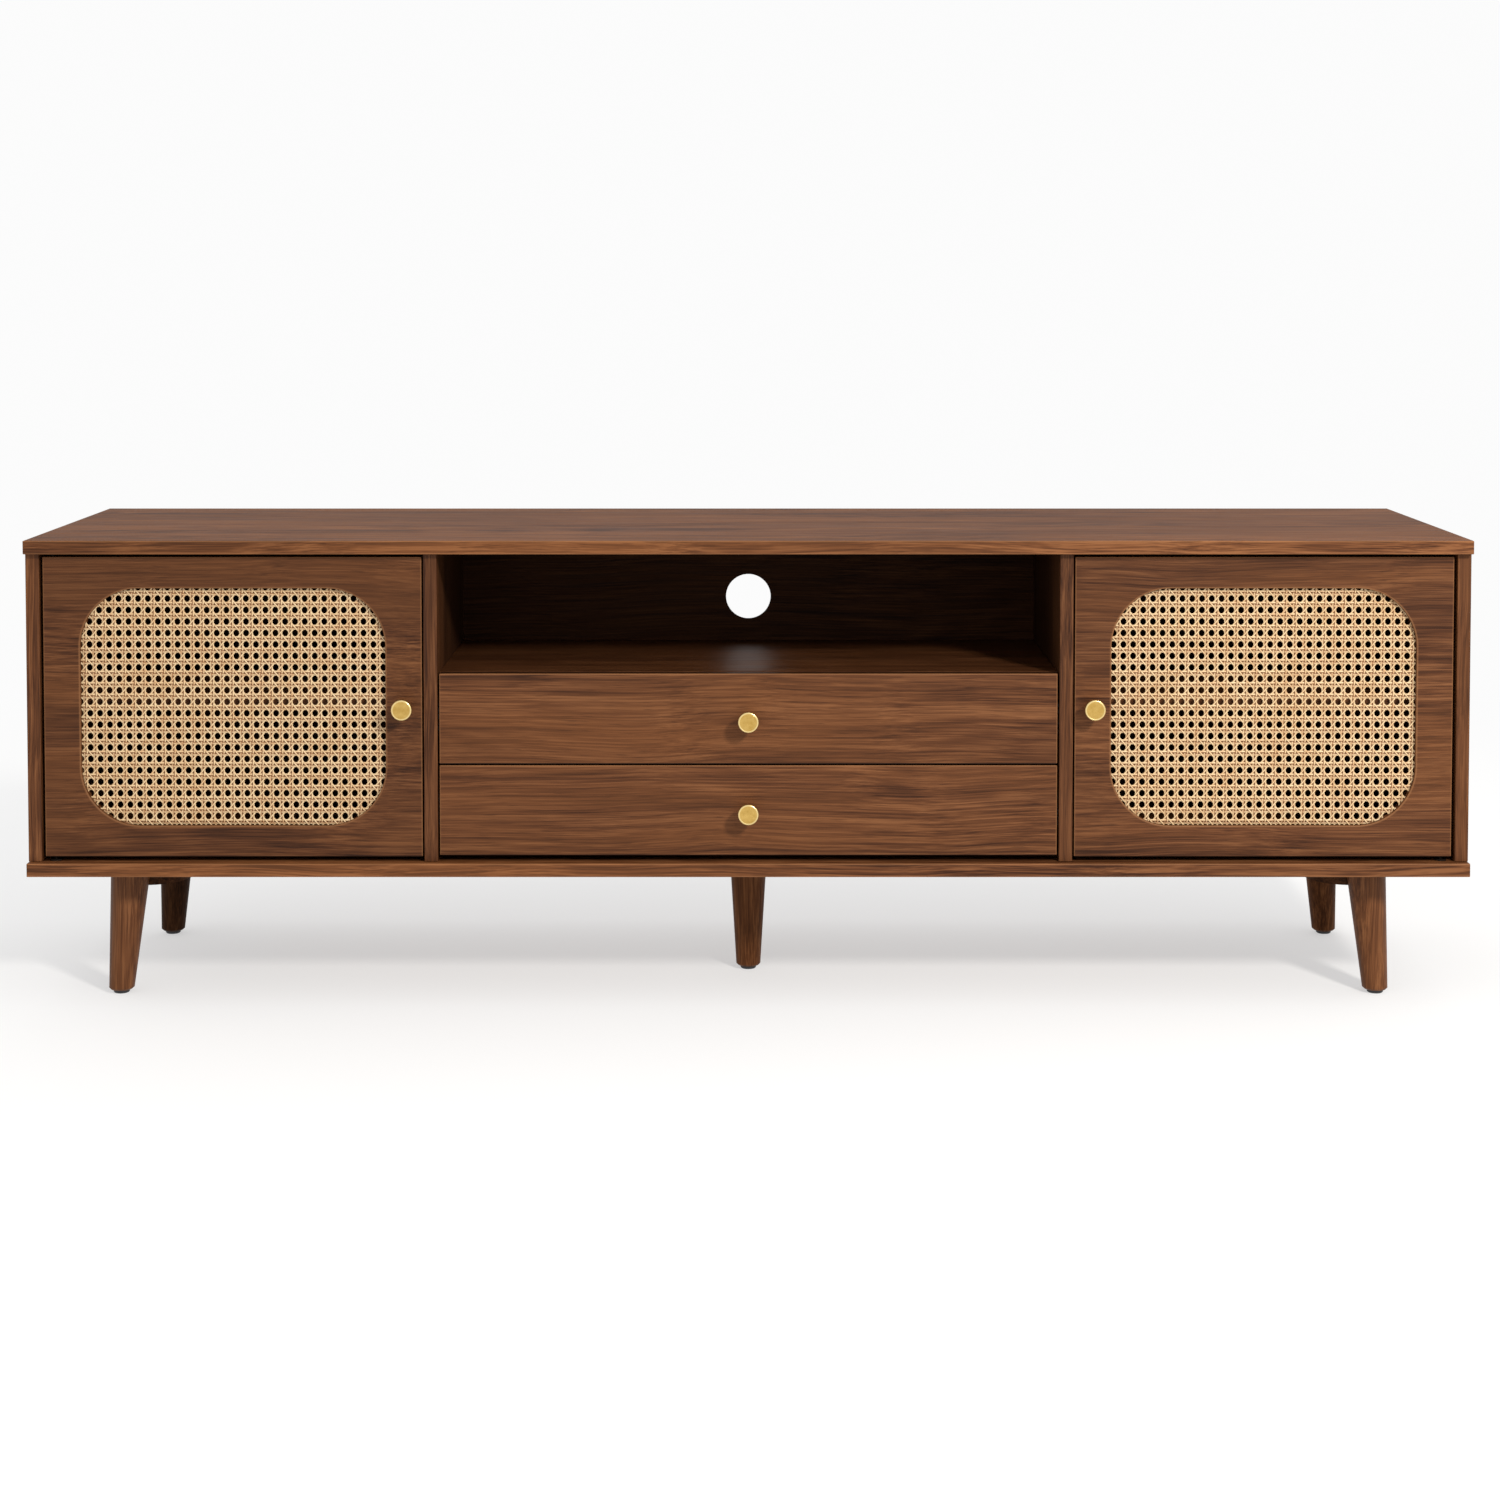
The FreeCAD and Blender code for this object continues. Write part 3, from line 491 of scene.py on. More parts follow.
@dataclass(frozen=True)
class Brass:
    """Satin brass: turned rings on the face and a painted highlight on its rim."""

    name: str
    colour: Colour = (0.640, 0.420, 0.124)
    shade: Colour = (0.500, 0.310, 0.076)
    # rim is a painted highlight on the knob's rounded rim.
    rim: Colour = (0.860, 0.680, 0.330)
    ring_turns: float = 160.0

    def make(self) -> bpy.types.Material:
        """Builds the material from turned rings, slight tarnish and the painted rim highlight."""
        mix = Recipe(self.name)
        edge = mix.node("ShaderNodeAttribute", result="Fac", attribute_name=EDGE)
        rings = mix.sine(edge * self.ring_turns) * 0.5 + 0.5
        tarnish = mix.noise(mix.place(), 160.0, 3.0)
        body = mix.blend(mix.span(tarnish, 0.35, 0.70), self.colour, self.shade)
        turned = mix.blend(rings * 0.16, body, self.shade)
        # A painted highlight ring on the rounded rim.
        rim_highlight = mix.span(edge, 0.80, 0.86) * mix.span(edge, 0.97, 1.0, 1.0, 0.0)
        paint = mix.blend(rim_highlight * 0.75, turned, self.rim)
        return mix.finish(Base_Color=paint, Metallic=1.0, Normal=mix.bump(rings, 0.03 * MM, 0.25),
                          Roughness=mix.span(tarnish, 0.3, 0.7, 0.24, 0.34))


@dataclass(frozen=True)
class Metal:
    """A turned or rolled metal with fine tool lines."""

    name: str
    colour: Colour
    shade: Colour
    rough: float = 0.3
    lines: Sequence[Number] = (1.0, 1.0, 1.0)
    line_scale: float = 900.0

    def make(self) -> bpy.types.Material:
        """Builds the material with slight stains and tool lines."""
        mix = Recipe(self.name)
        where = mix.place(scale=self.lines)
        stains = mix.noise(mix.place(), 90.0, 3.0)
        marks = mix.noise(where, self.line_scale, 2.0, 0.6)
        paint = mix.blend(mix.span(stains, 0.35, 0.70), self.colour, self.shade)
        rough = mix.span(marks + stains * 0.5, 0.4, 1.1, self.rough - 0.06, self.rough + 0.08)
        return mix.finish(Base_Color=paint, Metallic=1.0, Roughness=rough,
                          Normal=mix.bump(marks, 0.05 * MM, 0.3))


@dataclass(frozen=True)
class Moulded:
    """Moulded plastic or painted fibreboard with a fine, even texture."""

    name: str
    colour: Colour
    rough: float = 0.55
    speckle: float = 0.15
    scale: float = 1400.0
    shine: float = 0.5

    def make(self) -> bpy.types.Material:
        """Builds the material with a fine texture and slight unevenness."""
        mix = Recipe(self.name)
        where = mix.place()
        texture = mix.noise(where, self.scale, 2.0, 0.6)
        patch = mix.noise(where, 40.0, 2.0)
        lighter = tuple(min(1.0, part * 1.35 + 0.01) for part in self.colour)
        uneven = mix.span(texture * 0.5 + patch * 0.5, 0.35, 0.65, 0.0, self.speckle * 2)
        return mix.finish(Base_Color=mix.blend(uneven, self.colour, lighter),
                          Roughness=mix.span(patch, 0.3, 0.7, self.rough - 0.06, self.rough + 0.06),
                          Normal=mix.bump(texture, 0.1 * MM, 0.3), Specular_IOR_Level=self.shine)


def dress(item: bpy.types.Object, material: bpy.types.Material) -> bpy.types.Object:
    """Gives an object one material all over."""
    item.data.materials.clear()
    item.data.materials.append(material)
    return item


def middle_of(node: str) -> Vector:
    """The centre of a node's box at rest."""
    low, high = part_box(node)
    return (Vector(low) + Vector(high)) / 2


# --------------------------------------------------------------------- shapes


def piece_from(shape: bmesh.types.BMesh, name: str, body: str,
               smooth: bool = True) -> bpy.types.Object:
    """Turns a finished bmesh into a piece that rides on a body.

    Args:
        shape: the bmesh, in metres, in place; it is freed here.
        name: the piece's name.
        body: the body that it moves with.
        smooth: whether its faces shade smoothly.

    Returns:
        The new object.
    """
    mesh = bpy.data.meshes.new(name)
    for face in shape.faces:
        face.smooth = smooth
    shape.to_mesh(mesh)
    shape.free()
    item = bpy.data.objects.new(name, mesh)
    bpy.context.scene.collection.objects.link(item)
    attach(item, body)
    LOG.info("%s: %d faces on %s", name, len(mesh.polygons), body)
    return item


def spun(outline: Sequence[tuple[Number, Number]], steps: int) -> bmesh.types.BMesh:
    """A closed round shape, spun about Z.

    Args:
        outline: (radius, height) points that start and end on the axis.
        steps: how many sides the round has.

    Returns:
        The shape, with its normals pointing out.
    """
    shape = bmesh.new()
    points = [shape.verts.new((radius, 0.0, height)) for radius, height in outline]
    edges = [shape.edges.new(pair) for pair in zip(points, points[1:])]
    bmesh.ops.spin(shape, geom=points + edges, axis=(0, 0, 1), cent=(0, 0, 0), dvec=(0, 0, 0),
                   angle=2 * math.pi, steps=steps, use_merge=True, use_duplicate=False)
    bmesh.ops.remove_doubles(shape, verts=shape.verts, dist=MERGE)
    bmesh.ops.recalc_face_normals(shape, faces=shape.faces)
    return shape


@dataclass
class CaneWeave:
    """One door's woven cane: pairs of upright and level strands, and slants."""

    side: str
    pitch_x: float = 10.87 * MM
    pitch_z: float = 12.80 * MM
    strand: float = 1.95 * MM
    level_strand: float = 2.45 * MM
    pair_gap: float = 0.55 * MM
    crown: float = 0.16 * MM
    thickness: float = 0.42 * MM
    sway: float = 0.24 * MM
    slant_sway: float = 0.60 * MM
    hidden_edge: float = 4.0 * MM
    corner: float = 73.0 * MM
    slant_strand: float = 1.75 * MM
    slant_steps: int = 4
    shift: tuple[float, float] = (3.2 * MM, 5.3 * MM)
    centre: Vector = field(init=False)
    half: Vector = field(init=False)

    def __post_init__(self) -> None:
        """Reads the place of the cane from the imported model."""
        low, high = (Vector(end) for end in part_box(self.side + "_cane_panel"))
        self.centre = (low + high) / 2
        self.half = (high - low) / 2 - Vector((self.hidden_edge, 0, self.hidden_edge))
        if self.side == "right":
            self.shift = (-self.shift[0], self.shift[1])

    def inside(self, x: float, z: float) -> bool:
        """Whether a point, from the cane's centre, lies on the cut sheet."""
        over_x = max(abs(x) - (self.half.x - self.corner), 0.0)
        over_z = max(abs(z) - (self.half.z - self.corner), 0.0)
        return math.hypot(over_x, over_z) <= self.corner

    def lay(self, shape: bmesh.types.BMesh, spots: Sequence[Vector], width: float,
            shaded: Number = 0) -> None:
        """Lays one crowned strip along its spots.

        Args:
            shape: the bmesh that collects the strips.
            spots: centre points from end to end, from the cane's centre.
            width: the strip's width.
            shaded: the side that takes painted shade, 1 or -1, or 0 for both sides alike.
        """
        if len(spots) < 3:
            return
        edge = shape.verts.layers.float.get(EDGE) or shape.verts.layers.float.new(EDGE)
        grid = bmesh.ops.create_grid(shape, x_segments=2, y_segments=len(spots) - 1, size=0.5)
        along = (spots[-1] - spots[0]).normalized()
        across = Vector((0, 1, 0)).cross(along).normalized()
        for vert in grid["verts"]:
            spot = spots[round((vert.co.y + 0.5) * (len(spots) - 1))]
            across_place = vert.co.x
            crown = Vector((0, -self.crown * (1 - 4 * across_place ** 2), 0))
            # The edge value sets the painted shade across the strip: on the side facing the pair's
            # other strand, or on both sides of a slant.
            vert[edge] = (0.5 + shaded * across_place) if shaded else abs(across_place) * 1.5
            vert.co = self.centre + spot + across * (across_place * width) + crown

    def weave_line(self, upright: bool, member: int, stops: int, offset: float,
                   far_shift: float, far_pitch: float) -> list[tuple[float, float]]:
        """One straight strand's path: (how far along, how far in or out) pairs.

        Args:
            upright: whether the strand is upright.
            member: which strand of its pair it is, 0 or 1.
            stops: how many crossings it has on each side of the middle.
            offset: how far each strand lies from its pair's middle.
            far_shift: where the crossing pairs start from.
            far_pitch: the distance between crossing pairs.

        Returns:
            The path from end to end.
        """
        spots = []
        for stop in range(-stops, stops + 1):
            line = far_shift + (stop + 0.5) * far_pitch
            for step, reach in ((0, -offset), (1, offset)):
                sign = 1 if (member + step) % 2 else -1
                spots.append((line + reach, sign * self.sway * (1 if upright else -1)))
            spots.append((line + far_pitch / 2, 0.0))
        return spots

    def straight(self, upright: bool) -> bmesh.types.BMesh:
        """All the upright or all the level strands, in pairs."""
        shape = bmesh.new()
        own, other = self.pitch_x, self.pitch_z
        own_shift, other_shift = self.shift
        own_reach, other_reach = self.half.x, self.half.z
        width, facing = self.strand, 1
        if not upright:
            own, other = other, own
            own_shift, other_shift = other_shift, own_shift
            own_reach, other_reach = other_reach, own_reach
            width, facing = self.level_strand, -1
        offset = (width + self.pair_gap) / 2
        count = int(own_reach / own) + 1
        stops = int(other_reach / other) + 1
        for pair in range(-count, count + 1):
            for member in (0, 1):
                place = own_shift + (pair + 0.5) * own + (2 * member - 1) * offset
                path = self.weave_line(upright, member, stops, offset, other_shift, other)
                points = [Vector((place, lift, far)) if upright else Vector((far, lift, place))
                          for far, lift in path]
                # Each strand of a pair takes painted shade on the side that faces the other.
                shaded = facing * (1 if member == 0 else -1)
                kept = [spot for spot in points if self.inside(spot.x, spot.z)]
                self.lay(shape, kept, width, shaded)
        return shape

    def slanted(self, slope: int) -> bmesh.types.BMesh:
        """All the strands of one slant: slope is +1 or -1."""
        shape = bmesh.new()
        reach = int(self.half.x / self.pitch_x + self.half.z / self.pitch_z) + 2
        steps = self.slant_steps * (int(self.half.x / self.pitch_x) + 2)
        for line in range(-reach, reach + 1):
            spots = []
            for step in range(-steps, steps + 1):
                turns = step / self.slant_steps
                x = self.shift[0] + (turns + 0.5) * self.pitch_x
                z = self.shift[1] + (slope * turns + line + 1.0) * self.pitch_z
                lift = -slope * self.slant_sway * math.cos(2 * math.pi * turns)
                if self.inside(x, z):
                    spots.append(Vector((x, lift, z)))
            self.lay(shape, spots, self.slant_strand)
        return shape

    def build(self, finish: bpy.types.Material) -> None:
        """Weaves the four layers, gives them their thickness and finish."""
        body = self.side + "_door"
        layers: dict[str, Callable[[], bmesh.types.BMesh]] = {
            "uprights": lambda: self.straight(True),
            "levels": lambda: self.straight(False),
            "rising_slants": lambda: self.slanted(1),
            "falling_slants": lambda: self.slanted(-1),
        }
        for index, (label, weave) in enumerate(layers.items()):
            item = piece_from(weave(), "%s_cane_%s" % (self.side, label), body)
            solid = item.modifiers.new("thickness", "SOLIDIFY")
            solid.thickness = self.thickness
            solid.offset = 0.0
            dress(item, finish)
            if index == 0:
                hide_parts(self.side + "_cane_panel")


@dataclass
class Knob:
    """A turned brass knob: foot, waist, and a flat head with a soft rim."""

    owner: str
    body: str
    waist: float = 4.6 * MM
    flare: float = 1.2 * MM
    foot: float = 7.0 * MM
    foot_edge: float = 1.2 * MM
    head: float = 9.0 * MM
    rim: float = 1.5 * MM
    throat_steps: int = 7
    rim_steps: int = 6
    turns: int = 72

    def throat(self, length: float) -> list[tuple[float, float]]:
        """The waist's section: it narrows in a curve above the foot."""
        points = []
        for step in range(self.throat_steps + 1):
            turn = math.pi * step / self.throat_steps
            height = 2.0 * MM + (length - self.head - 2.6 * MM) * step / self.throat_steps
            swell = (1 + math.cos(turn)) / 2 if step < self.throat_steps / 2 else 0.0
            points.append((self.waist + swell * self.flare, height))
        return points

    def outline(self, radius: float, length: float) -> list[tuple[float, float]]:
        """The knob's half section.

        Args:
            radius: the head's radius.
            length: how far the knob stands from its front.

        Returns:
            (radius, height) points from foot to face, on the axis at both ends.
        """
        under = length - self.head
        points = [(0.0, 0.0), (self.foot, 0.0), (self.foot, self.foot_edge),
                  (self.foot - 0.5 * MM, self.foot_edge + 0.4 * MM)]
        points += self.throat(length)
        points += [(self.waist + self.flare, under - 0.2 * MM),
                   (radius - 1.2 * MM, under + 1.0 * MM),
                   (radius - 0.3 * MM, under + 1.9 * MM), (radius, under + 3.0 * MM)]
        for step in range(self.rim_steps + 1):
            turn = math.pi / 2 * step / self.rim_steps
            points.append((radius - self.rim + self.rim * math.cos(turn),
                           length - self.rim + self.rim * math.sin(turn)))
        dish = radius - self.rim - 0.7 * MM
        points += [(dish, length - 0.35 * MM), (dish * 0.5, length - 0.2 * MM),
                   (0.0, length - 0.15 * MM)]
        return points

    def build(self, finish: bpy.types.Material) -> None:
        """Turns the knob on its axis and sets it on its front."""
        node = self.owner + "_knob"
        low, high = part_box(node)
        radius = (high[0] - low[0]) / 2
        length = high[1] - low[1]
        shape = spun(self.outline(radius, length), self.turns)
        # The edge value, each face point's distance from the axis, places the turned rings and the
        # painted rim highlight.
        rim = shape.verts.layers.float.new(EDGE)
        for vert in shape.verts:
            over = math.hypot(vert.co.x, vert.co.y) / radius
            vert[rim] = over if vert.co.z > length - self.rim - 10 * MERGE else 0.0
        place = Vector(((low[0] + high[0]) / 2, high[1], (low[2] + high[2]) / 2))
        turn = Matrix.Rotation(math.pi / 2, 4, "X")
        bmesh.ops.transform(shape, matrix=Matrix.Translation(place) @ turn, verts=shape.verts)
        item = piece_from(shape, self.owner + "_turned_knob", self.body)
        even = item.modifiers.new("even shading", "WEIGHTED_NORMAL")
        even.keep_sharp = False
        dress(item, finish)
        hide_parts(node)


@dataclass
class RecessShadows:
    """Dark crosses of painted shade, a little proud, standing for the cross recesses of the knob
    screws and of the cam locks.
    """

    screw_span: float = 3.8 * MM
    screw_bar: float = 0.9 * MM
    screw_turn: float = 0.5
    cam_span: float = 9.0 * MM
    cam_bar: float = 1.8 * MM
    cam_turn: float = 0.4
    cam_step: float = 0.9
    proud: float = 0.06 * MM

    def cross(self, shape: bmesh.types.BMesh, spot: Vector, axis: str, span: float, bar: float,
              turn: float) -> None:
        """Adds one cross, flat on a face.

        Args:
            shape: the bmesh that collects the crosses.
            spot: the cross's centre, on the face.
            axis: the face's axis, X, Y or Z.
            span: the cross's width.
            bar: the width of each bar.
            turn: its turn about the axis.
        """
        lay = {"X": Matrix.Rotation(math.pi / 2, 4, "Y"), "Y": Matrix.Rotation(math.pi / 2, 4, "X"),
               "Z": Matrix.Identity(4)}[axis]
        for step, height in ((0.0, 1.8), (math.pi / 2, 2.0)):
            made = bmesh.ops.create_cube(shape, size=1.0)
            size = Matrix.Diagonal((span, bar, self.proud * height, 1.0))
            place = Matrix.Translation(spot) @ lay @ Matrix.Rotation(step + turn, 4, "Z") @ size
            bmesh.ops.transform(shape, matrix=place, verts=made["verts"])

    def build_screws(self, finish: bpy.types.Material) -> None:
        """One dark cross of painted shade on the head of each knob's screw, at the back of its
        front.
        """
        for owner in ("left_door", "right_door", "upper_drawer", "lower_drawer"):
            node = owner + "_knob_screw"
            spot = middle_of(node)
            spot.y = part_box(node)[1][1]
            shape = bmesh.new()
            self.cross(shape, spot, "Y", self.screw_span, self.screw_bar, self.screw_turn)
            item = piece_from(shape, owner + "_screw_recess_shadow", owner, smooth=False)
            dress(item, finish)

    @staticmethod
    def solids_of(node: str) -> list[tuple[Vector, Vector]]:
        """The lowest and highest corner of each separate solid of a CAD node."""
        copied = bmesh.new()
        copied.from_mesh(NODES[node].data)
        bmesh.ops.remove_doubles(copied, verts=copied.verts, dist=MERGE)
        boxes = []
        waiting = set(copied.verts)
        while waiting:
            solid, queue = set(), [waiting.pop()]
            while queue:
                vert = queue.pop()
                solid.add(vert)
                linked = {link.other_vert(vert) for link in vert.link_edges} & waiting
                waiting -= linked
                queue += linked
            boxes.append((Vector(min(vert.co[way] for vert in solid) for way in range(3)),
                          Vector(max(vert.co[way] for vert in solid) for way in range(3))))
        copied.free()
        return sorted(boxes, key=lambda ends: tuple(round(part, 5) for part in ends[0]))

    def build_cams(self, finish: bpy.types.Material) -> None:
        """One dark cross of painted shade on each cam lock, each at its own turn."""
        shape = bmesh.new()
        for count, (low, high) in enumerate(self.solids_of("cam_locks")):
            spot = (low + high) / 2
            axis = "Z" if high.z - low.z < high.x - low.x else "X"
            if axis == "Z":
                spot.z = low.z
            else:
                spot.x = self.cam_face(low.x, high.x)
            self.cross(shape, spot, axis, self.cam_span, self.cam_bar,
                       self.cam_turn + self.cam_step * count)
        item = piece_from(shape, "cam_recess_shadows", "root", smooth=False)
        dress(item, finish)

    @staticmethod
    def cam_face(low: float, high: float) -> float:
        """The end of a cam lock that looks into its side compartment."""
        target = math.copysign(abs(middle_of("left_door_panel").x), low)
        return min((low, high), key=lambda face: abs(face - target))

    def build(self, finish: bpy.types.Material) -> None:
        """Adds the painted shade of every recess."""
        self.build_screws(finish)
        self.build_cams(finish)


@dataclass
class SlideBalls:
    """The balls and their cages between a slide's outer and middle members."""

    level: str
    count: int = 11
    radius: float = 1.3 * MM
    gap_centre: float = 1.4 * MM
    spacing: float = 9.0 * MM
    rear_inset: float = 12.0 * MM
    side_inset: float = 4.5 * MM
    cage_width: float = 3.4 * MM
    cage_thickness: float = 0.6 * MM

    def add_row(self, shape: bmesh.types.BMesh, across: float, rear: float,
                height: float) -> None:
        """Adds one row of balls and the cage that holds them.

        Args:
            shape: the bmesh that collects them.
            across: the row's place along the cabinet.
            rear: where the member ends at the back.
            height: the row's height.
        """
        first = rear - self.rear_inset
        for index in range(self.count):
            spot = (across, first - index * self.spacing, height)
            bmesh.ops.create_icosphere(shape, subdivisions=2, radius=self.radius,
                                       matrix=Matrix.Translation(spot))
        cage = bmesh.ops.create_cube(shape, size=1.0)
        length = (self.count + 0.6) * self.spacing
        size = Matrix.Diagonal((self.cage_width, length, self.cage_thickness, 1.0))
        spot = (across, first - (self.count - 1) * self.spacing / 2, height)
        bmesh.ops.transform(shape, matrix=Matrix.Translation(spot) @ size, verts=cage["verts"])

    def build(self, finish: bpy.types.Material) -> None:
        """Adds the balls in the rear part of both slides of one drawer."""
        node = self.level + "_slide_middle_members"
        low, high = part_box(node)
        reach = (high[2] - low[2]) / 2 + self.gap_centre
        shape = bmesh.new()
        for side in (-1, 1):
            for above in (-1, 1):
                self.add_row(shape, side * (high[0] - self.side_inset), high[1],
                             middle_of(node).z + above * reach)
        item = piece_from(shape, self.level + "_slide_balls", self.level + "_slide")
        dress(item, finish)


def grey(level: float) -> Colour:
    """A grey of one level."""
    return (level, level, level)


@dataclass
class Studio:
    """Pale floor, one soft light, a white world and the camera."""

    lens: float = 63.731
    sensor: float = 36.0
    distance: float = 2.91514
    eye_height: float = 0.81784
    tilt: float = 0.04504
    shift_y: float = -0.24
    shift_x: float = 0.0011
    clip: tuple[float, float] = (0.05, 60.0)
    world_strength: float = 0.97
    floor_reach: float = 20.0
    floor_fade: tuple[float, float] = (1.3, 2.4)
    floor_colour: float = 0.42
    floor_glow: float = 0.50
    far_glow: float = 0.97
    key_place: tuple[float, float, float] = (1.85, -3.1, 2.3)
    key_aim: tuple[float, float, float] = (0.1, 0.0, 0.3)
    key_size: float = 0.45
    key_power: float = 130.0
    key_tint: Colour = (1.0, 0.96, 0.90)

    @staticmethod
    def add(name: str, data: bpy.types.ID) -> bpy.types.Object:
        """Adds an object with this data to the scene."""
        item = bpy.data.objects.new(name, data)
        bpy.context.scene.collection.objects.link(item)
        return item

    def set_camera(self) -> None:
        """Stands the camera in front; part of its tilt is taken by the shift."""
        camera = bpy.data.cameras.new("camera")
        camera.lens = self.lens
        camera.sensor_width = self.sensor
        camera.shift_x = self.shift_x
        camera.shift_y = self.shift_y
        camera.clip_start, camera.clip_end = self.clip
        item = self.add("camera", camera)
        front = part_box("top_panel")[0][1]
        item.location = (0.0, front - self.distance, CAD_BOX[0][2] + self.eye_height)
        item.rotation_euler = (math.pi / 2 - self.tilt, 0.0, 0.0)
        bpy.context.scene.camera = item

    def lay_floor(self) -> None:
        """A wide, pale, matte floor that isn't part of the cabinet."""
        shape = bmesh.new()
        bmesh.ops.create_grid(shape, x_segments=1, y_segments=1, size=self.floor_reach)
        bmesh.ops.translate(shape, verts=shape.verts, vec=(0, 0, CAD_BOX[0][2]))
        mesh = bpy.data.meshes.new("floor")
        shape.to_mesh(mesh)
        shape.free()
        floor = self.add("floor", mesh)
        mix = Recipe("pale floor")
        away = mix.vector("LENGTH", mix.place(), result="Value")
        far = mix.span(away, *self.floor_fade, smooth=True)
        colour = mix.blend(far, grey(self.floor_colour), grey(0.0))
        glow = mix.blend(far, grey(self.floor_glow), grey(self.far_glow))
        dress(floor, mix.finish(Base_Color=colour, Roughness=1.0, Specular_IOR_Level=0.0,
                                Emission_Strength=1.0, Emission_Color=glow))

    def add_key(self) -> None:
        """Adds the soft square light, aimed at the cabinet."""
        light = bpy.data.lights.new("key", "AREA")
        light.shape = "SQUARE"
        light.size = self.key_size
        light.energy = self.key_power
        light.color = self.key_tint
        item = self.add("key", light)
        item.location = self.key_place
        aim = Vector(self.key_aim) - Vector(self.key_place)
        item.rotation_euler = aim.to_track_quat("-Z", "Y").to_euler()

    def build(self) -> None:
        """Sets the world, the floor, the light and the camera."""
        world = bpy.data.worlds.new("studio")
        world.use_nodes = True
        background = world.node_tree.nodes["Background"]
        background.inputs["Color"].default_value = (*grey(1.0), 1.0)
        background.inputs["Strength"].default_value = self.world_strength
        bpy.context.scene.world = world
        view = bpy.context.scene.view_settings
        view.view_transform = "Standard"
        view.look = "None"
        self.lay_floor()
        self.add_key()
        self.set_camera()


@dataclass(frozen=True)
class Board:
    """How one foil-faced board is finished."""

    name: str
    tone_and_shade: float
    grain: Grain = Grain.ALONG
    face: Face = Face.PLAIN
    gloss: float = 0.46

    def make(self, index: int) -> bpy.types.Material:
        """Its walnut foil; index picks its own stretch of figure."""
        opening = self.name.replace("door", "cane") if "door" in self.name else ""
        foil = Walnut("walnut foil " + self.name.replace("_", " "), self.grain, seed=index * 0.37,
                      gloss=self.gloss, tone_and_shade=self.tone_and_shade, board=self.name, face=self.face,
                      contrast=1.7 if self.face is Face.TOP else 1.2, opening=opening)
        return foil.make()


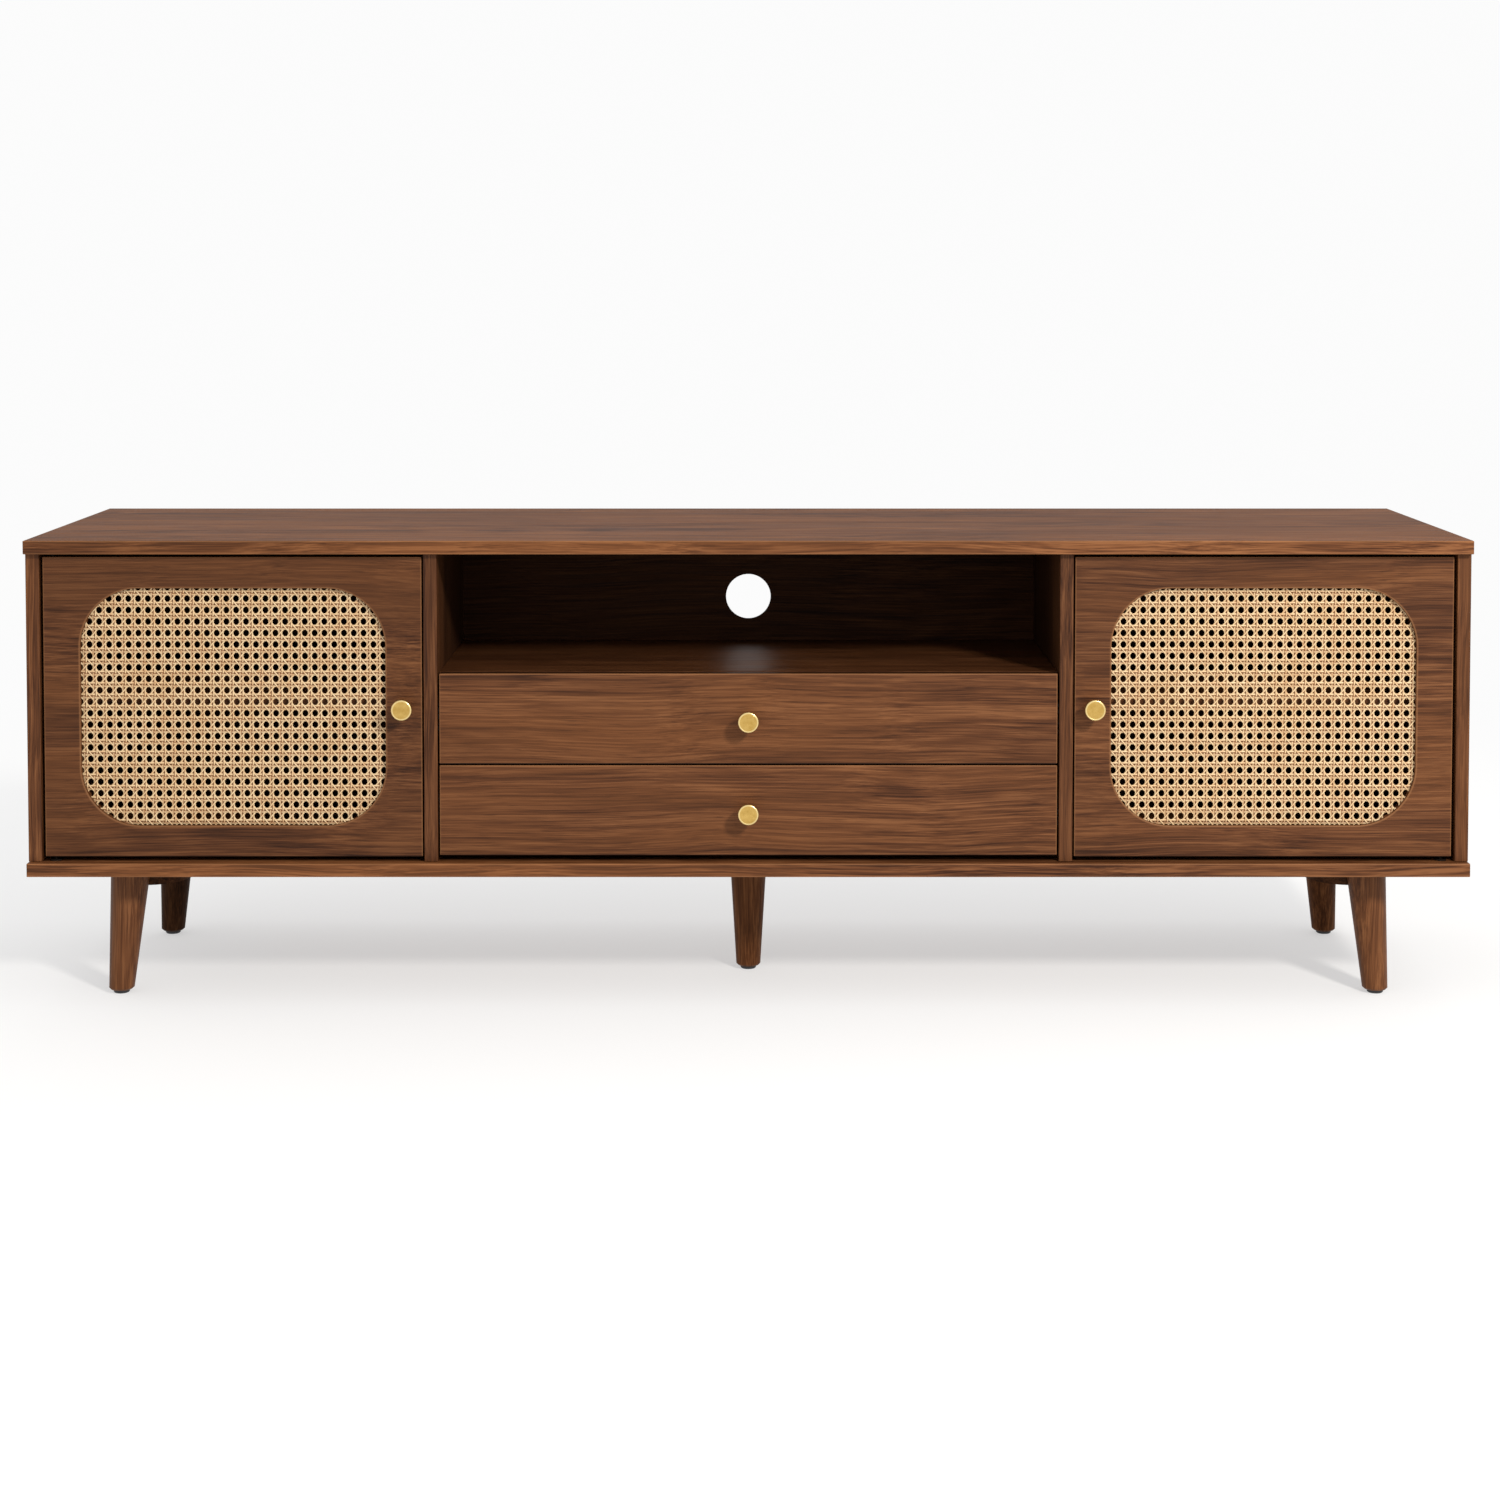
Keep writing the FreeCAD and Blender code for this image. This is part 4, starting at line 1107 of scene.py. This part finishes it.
@dataclass
class Cabinet:
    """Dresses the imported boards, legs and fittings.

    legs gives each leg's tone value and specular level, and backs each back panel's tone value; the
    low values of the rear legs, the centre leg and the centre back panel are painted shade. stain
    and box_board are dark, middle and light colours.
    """

    boards: tuple[Board, ...] = (
        Board("top_panel", 1.12, face=Face.TOP, gloss=0.66),
        Board("bottom_panel", 1.12, face=Face.TOP, gloss=0.5),
        Board("upper_drawer_front", 0.92, face=Face.FRONT),
        Board("lower_drawer_front", 0.92, face=Face.FRONT),
        Board("left_door_panel", 0.80, face=Face.FRONT),
        Board("right_door_panel", 0.90, face=Face.FRONT),
        # The centre shelf's low tone value is partly painted shade of the open bay.
        Board("centre_shelf", 0.64, gloss=0.44),
        Board("left_adjustable_shelf", 0.9),
        Board("right_adjustable_shelf", 0.9),
        Board("left_end_panel", 0.92, Grain.UPRIGHT, gloss=0.5),
        Board("right_end_panel", 0.80, Grain.UPRIGHT, gloss=0.5),
        Board("left_divider", 0.80, Grain.UPRIGHT, Face.DIVIDER, 0.5),
        Board("right_divider", 0.76, Grain.UPRIGHT, Face.DIVIDER, 0.5),
    )
    # The rear legs and the centre leg are darker as painted shade under the cabinet.
    legs: tuple[tuple[str, float, float], ...] = (
        ("front_left_leg", 0.90, 0.14), ("front_right_leg", 0.86, 0.14),
        ("centre_leg", 0.66, 0.06), ("rear_left_leg", 0.24, 0.04), ("rear_right_leg", 0.60, 0.04),
    )
    # The centre back panel is darker as painted shade at the back of the open bay.
    backs: tuple[tuple[str, float], ...] = (
        ("centre_back_panel", 0.35), ("left_back_panel", 0.62), ("right_back_panel", 0.62),
    )
    stain: tuple[Colour, Colour, Colour] = (
        (0.052, 0.0165, 0.0050), (0.140, 0.0490, 0.0165), (0.285, 0.1180, 0.0450),
    )
    box_board: tuple[Colour, Colour, Colour] = (
        (0.110, 0.048, 0.022), (0.200, 0.100, 0.050), (0.290, 0.160, 0.088),
    )

    def dress_boards(self) -> None:
        """Every foil-faced board, each with its own stretch of figure."""
        for index, board in enumerate(self.boards):
            dress(NODES[board.name], board.make(index))

    def dress_legs(self) -> None:
        """Solid legs and their blocks, with the grain running down them."""
        for index, (name, tone_and_shade, shine) in enumerate(self.legs):
            finish = Walnut("stained " + name.replace("_", " "), Grain.UPRIGHT, *self.stain,
                            seed=7.0 + index * 0.53, tone_and_shade=tone_and_shade, shine=shine)
            dress(NODES[name], finish.make())
        block = Walnut("stained block", Grain.DEEP, seed=9.3, tone_and_shade=0.42, shine=0.05).make()
        for side in SIDES:
            dress(NODES[side + "_leg_cleat"], block)

    def dress_insides(self) -> None:
        """Back panels, drawer boxes and the rings behind the cane."""
        for index, (name, tone_and_shade) in enumerate(self.backs):
            back = Walnut("printed " + name.replace("_", " "), Grain.ALONG, seed=11.0 + index,
                          gloss=0.6, streak=0.8, tone_and_shade=tone_and_shade, shine=0.06)
            dress(NODES[name], back.make())
        wrap = Walnut("drawer board", Grain.DEEP, *self.box_board, seed=12.0, gloss=0.55).make()
        crosswise = Walnut("drawer board crosswise", Grain.ALONG, *self.box_board, seed=13.0,
                           gloss=0.55).make()
        base = Moulded("fibreboard", (0.300, 0.190, 0.105), 0.6, 0.25, 700.0).make()
        ring = Walnut("retaining ring", Grain.ALONG, seed=14.0, gloss=0.55).make()
        for level in LEVELS:
            for side in SIDES:
                dress(NODES["%s_drawer_%s_side" % (level, side)], wrap)
            dress(NODES[level + "_drawer_back"], crosswise)
            dress(NODES[level + "_drawer_bottom"], base)
        for side in SIDES:
            dress(NODES[side + "_cane_retainer"], ring)

    def dress_fittings(self) -> None:
        """Steel, zinc and plastic."""
        steel = Metal("zinc plated steel", (0.60, 0.61, 0.63), (0.46, 0.47, 0.49), 0.34).make()
        rolled = Metal("rolled slide steel", (0.58, 0.59, 0.61), (0.47, 0.48, 0.50), 0.30,
                       (1.0, 0.05, 1.0)).make()
        cast = Metal("cast zinc", (0.50, 0.51, 0.53), (0.38, 0.39, 0.41), 0.42).make()
        black = Moulded("black glide plastic", (0.012, 0.012, 0.013), 0.5).make()
        brown = Moulded("dark brown hinge plastic", (0.010, 0.006, 0.004), 0.7, shine=0.05).make()
        dull = Metal("blackened steel", (0.018, 0.014, 0.012), (0.011, 0.009, 0.008), 0.6).make()
        finishes = {"leg_bolts": steel, "cam_bolts": steel, "cam_locks": cast, "shelf_pins": cast,
                    "hinge_bushes": brown, "leg_glides": black, "magnetic_catches": black}
        endings = {"knob_screw": steel, "strike_plate": steel, "hinge_pins": dull,
                   "_members": rolled}
        for name, item in NODES.items():
            if name in finishes:
                dress(item, finishes[name])
            for ending, finish in endings.items():
                if name.endswith(ending):
                    dress(item, finish)

    def build(self) -> None:
        """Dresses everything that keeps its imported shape."""
        self.dress_boards()
        self.dress_legs()
        self.dress_insides()
        self.dress_fittings()


def main() -> None:
    """Builds the pieces in order."""
    logging.basicConfig(level=logging.INFO, format="%(message)s")
    Studio().build()
    Cabinet().build()
    cane = Cane("split cane").make()
    brass = Brass("turned brass").make()
    polished = Metal("polished ball steel", (0.66, 0.67, 0.69), (0.55, 0.56, 0.58), 0.2).make()
    shadow = Metal("recess shadow", (0.060, 0.058, 0.056), (0.030, 0.029, 0.028), 0.5).make()
    for side in SIDES:
        CaneWeave(side).build(cane)
        Knob(side + "_door", side + "_door").build(brass)
    for level in LEVELS:
        Knob(level + "_drawer", level + "_drawer").build(brass)
        SlideBalls(level).build(polished)
    RecessShadows().build(shadow)


if __name__ == "__main__":
    main()
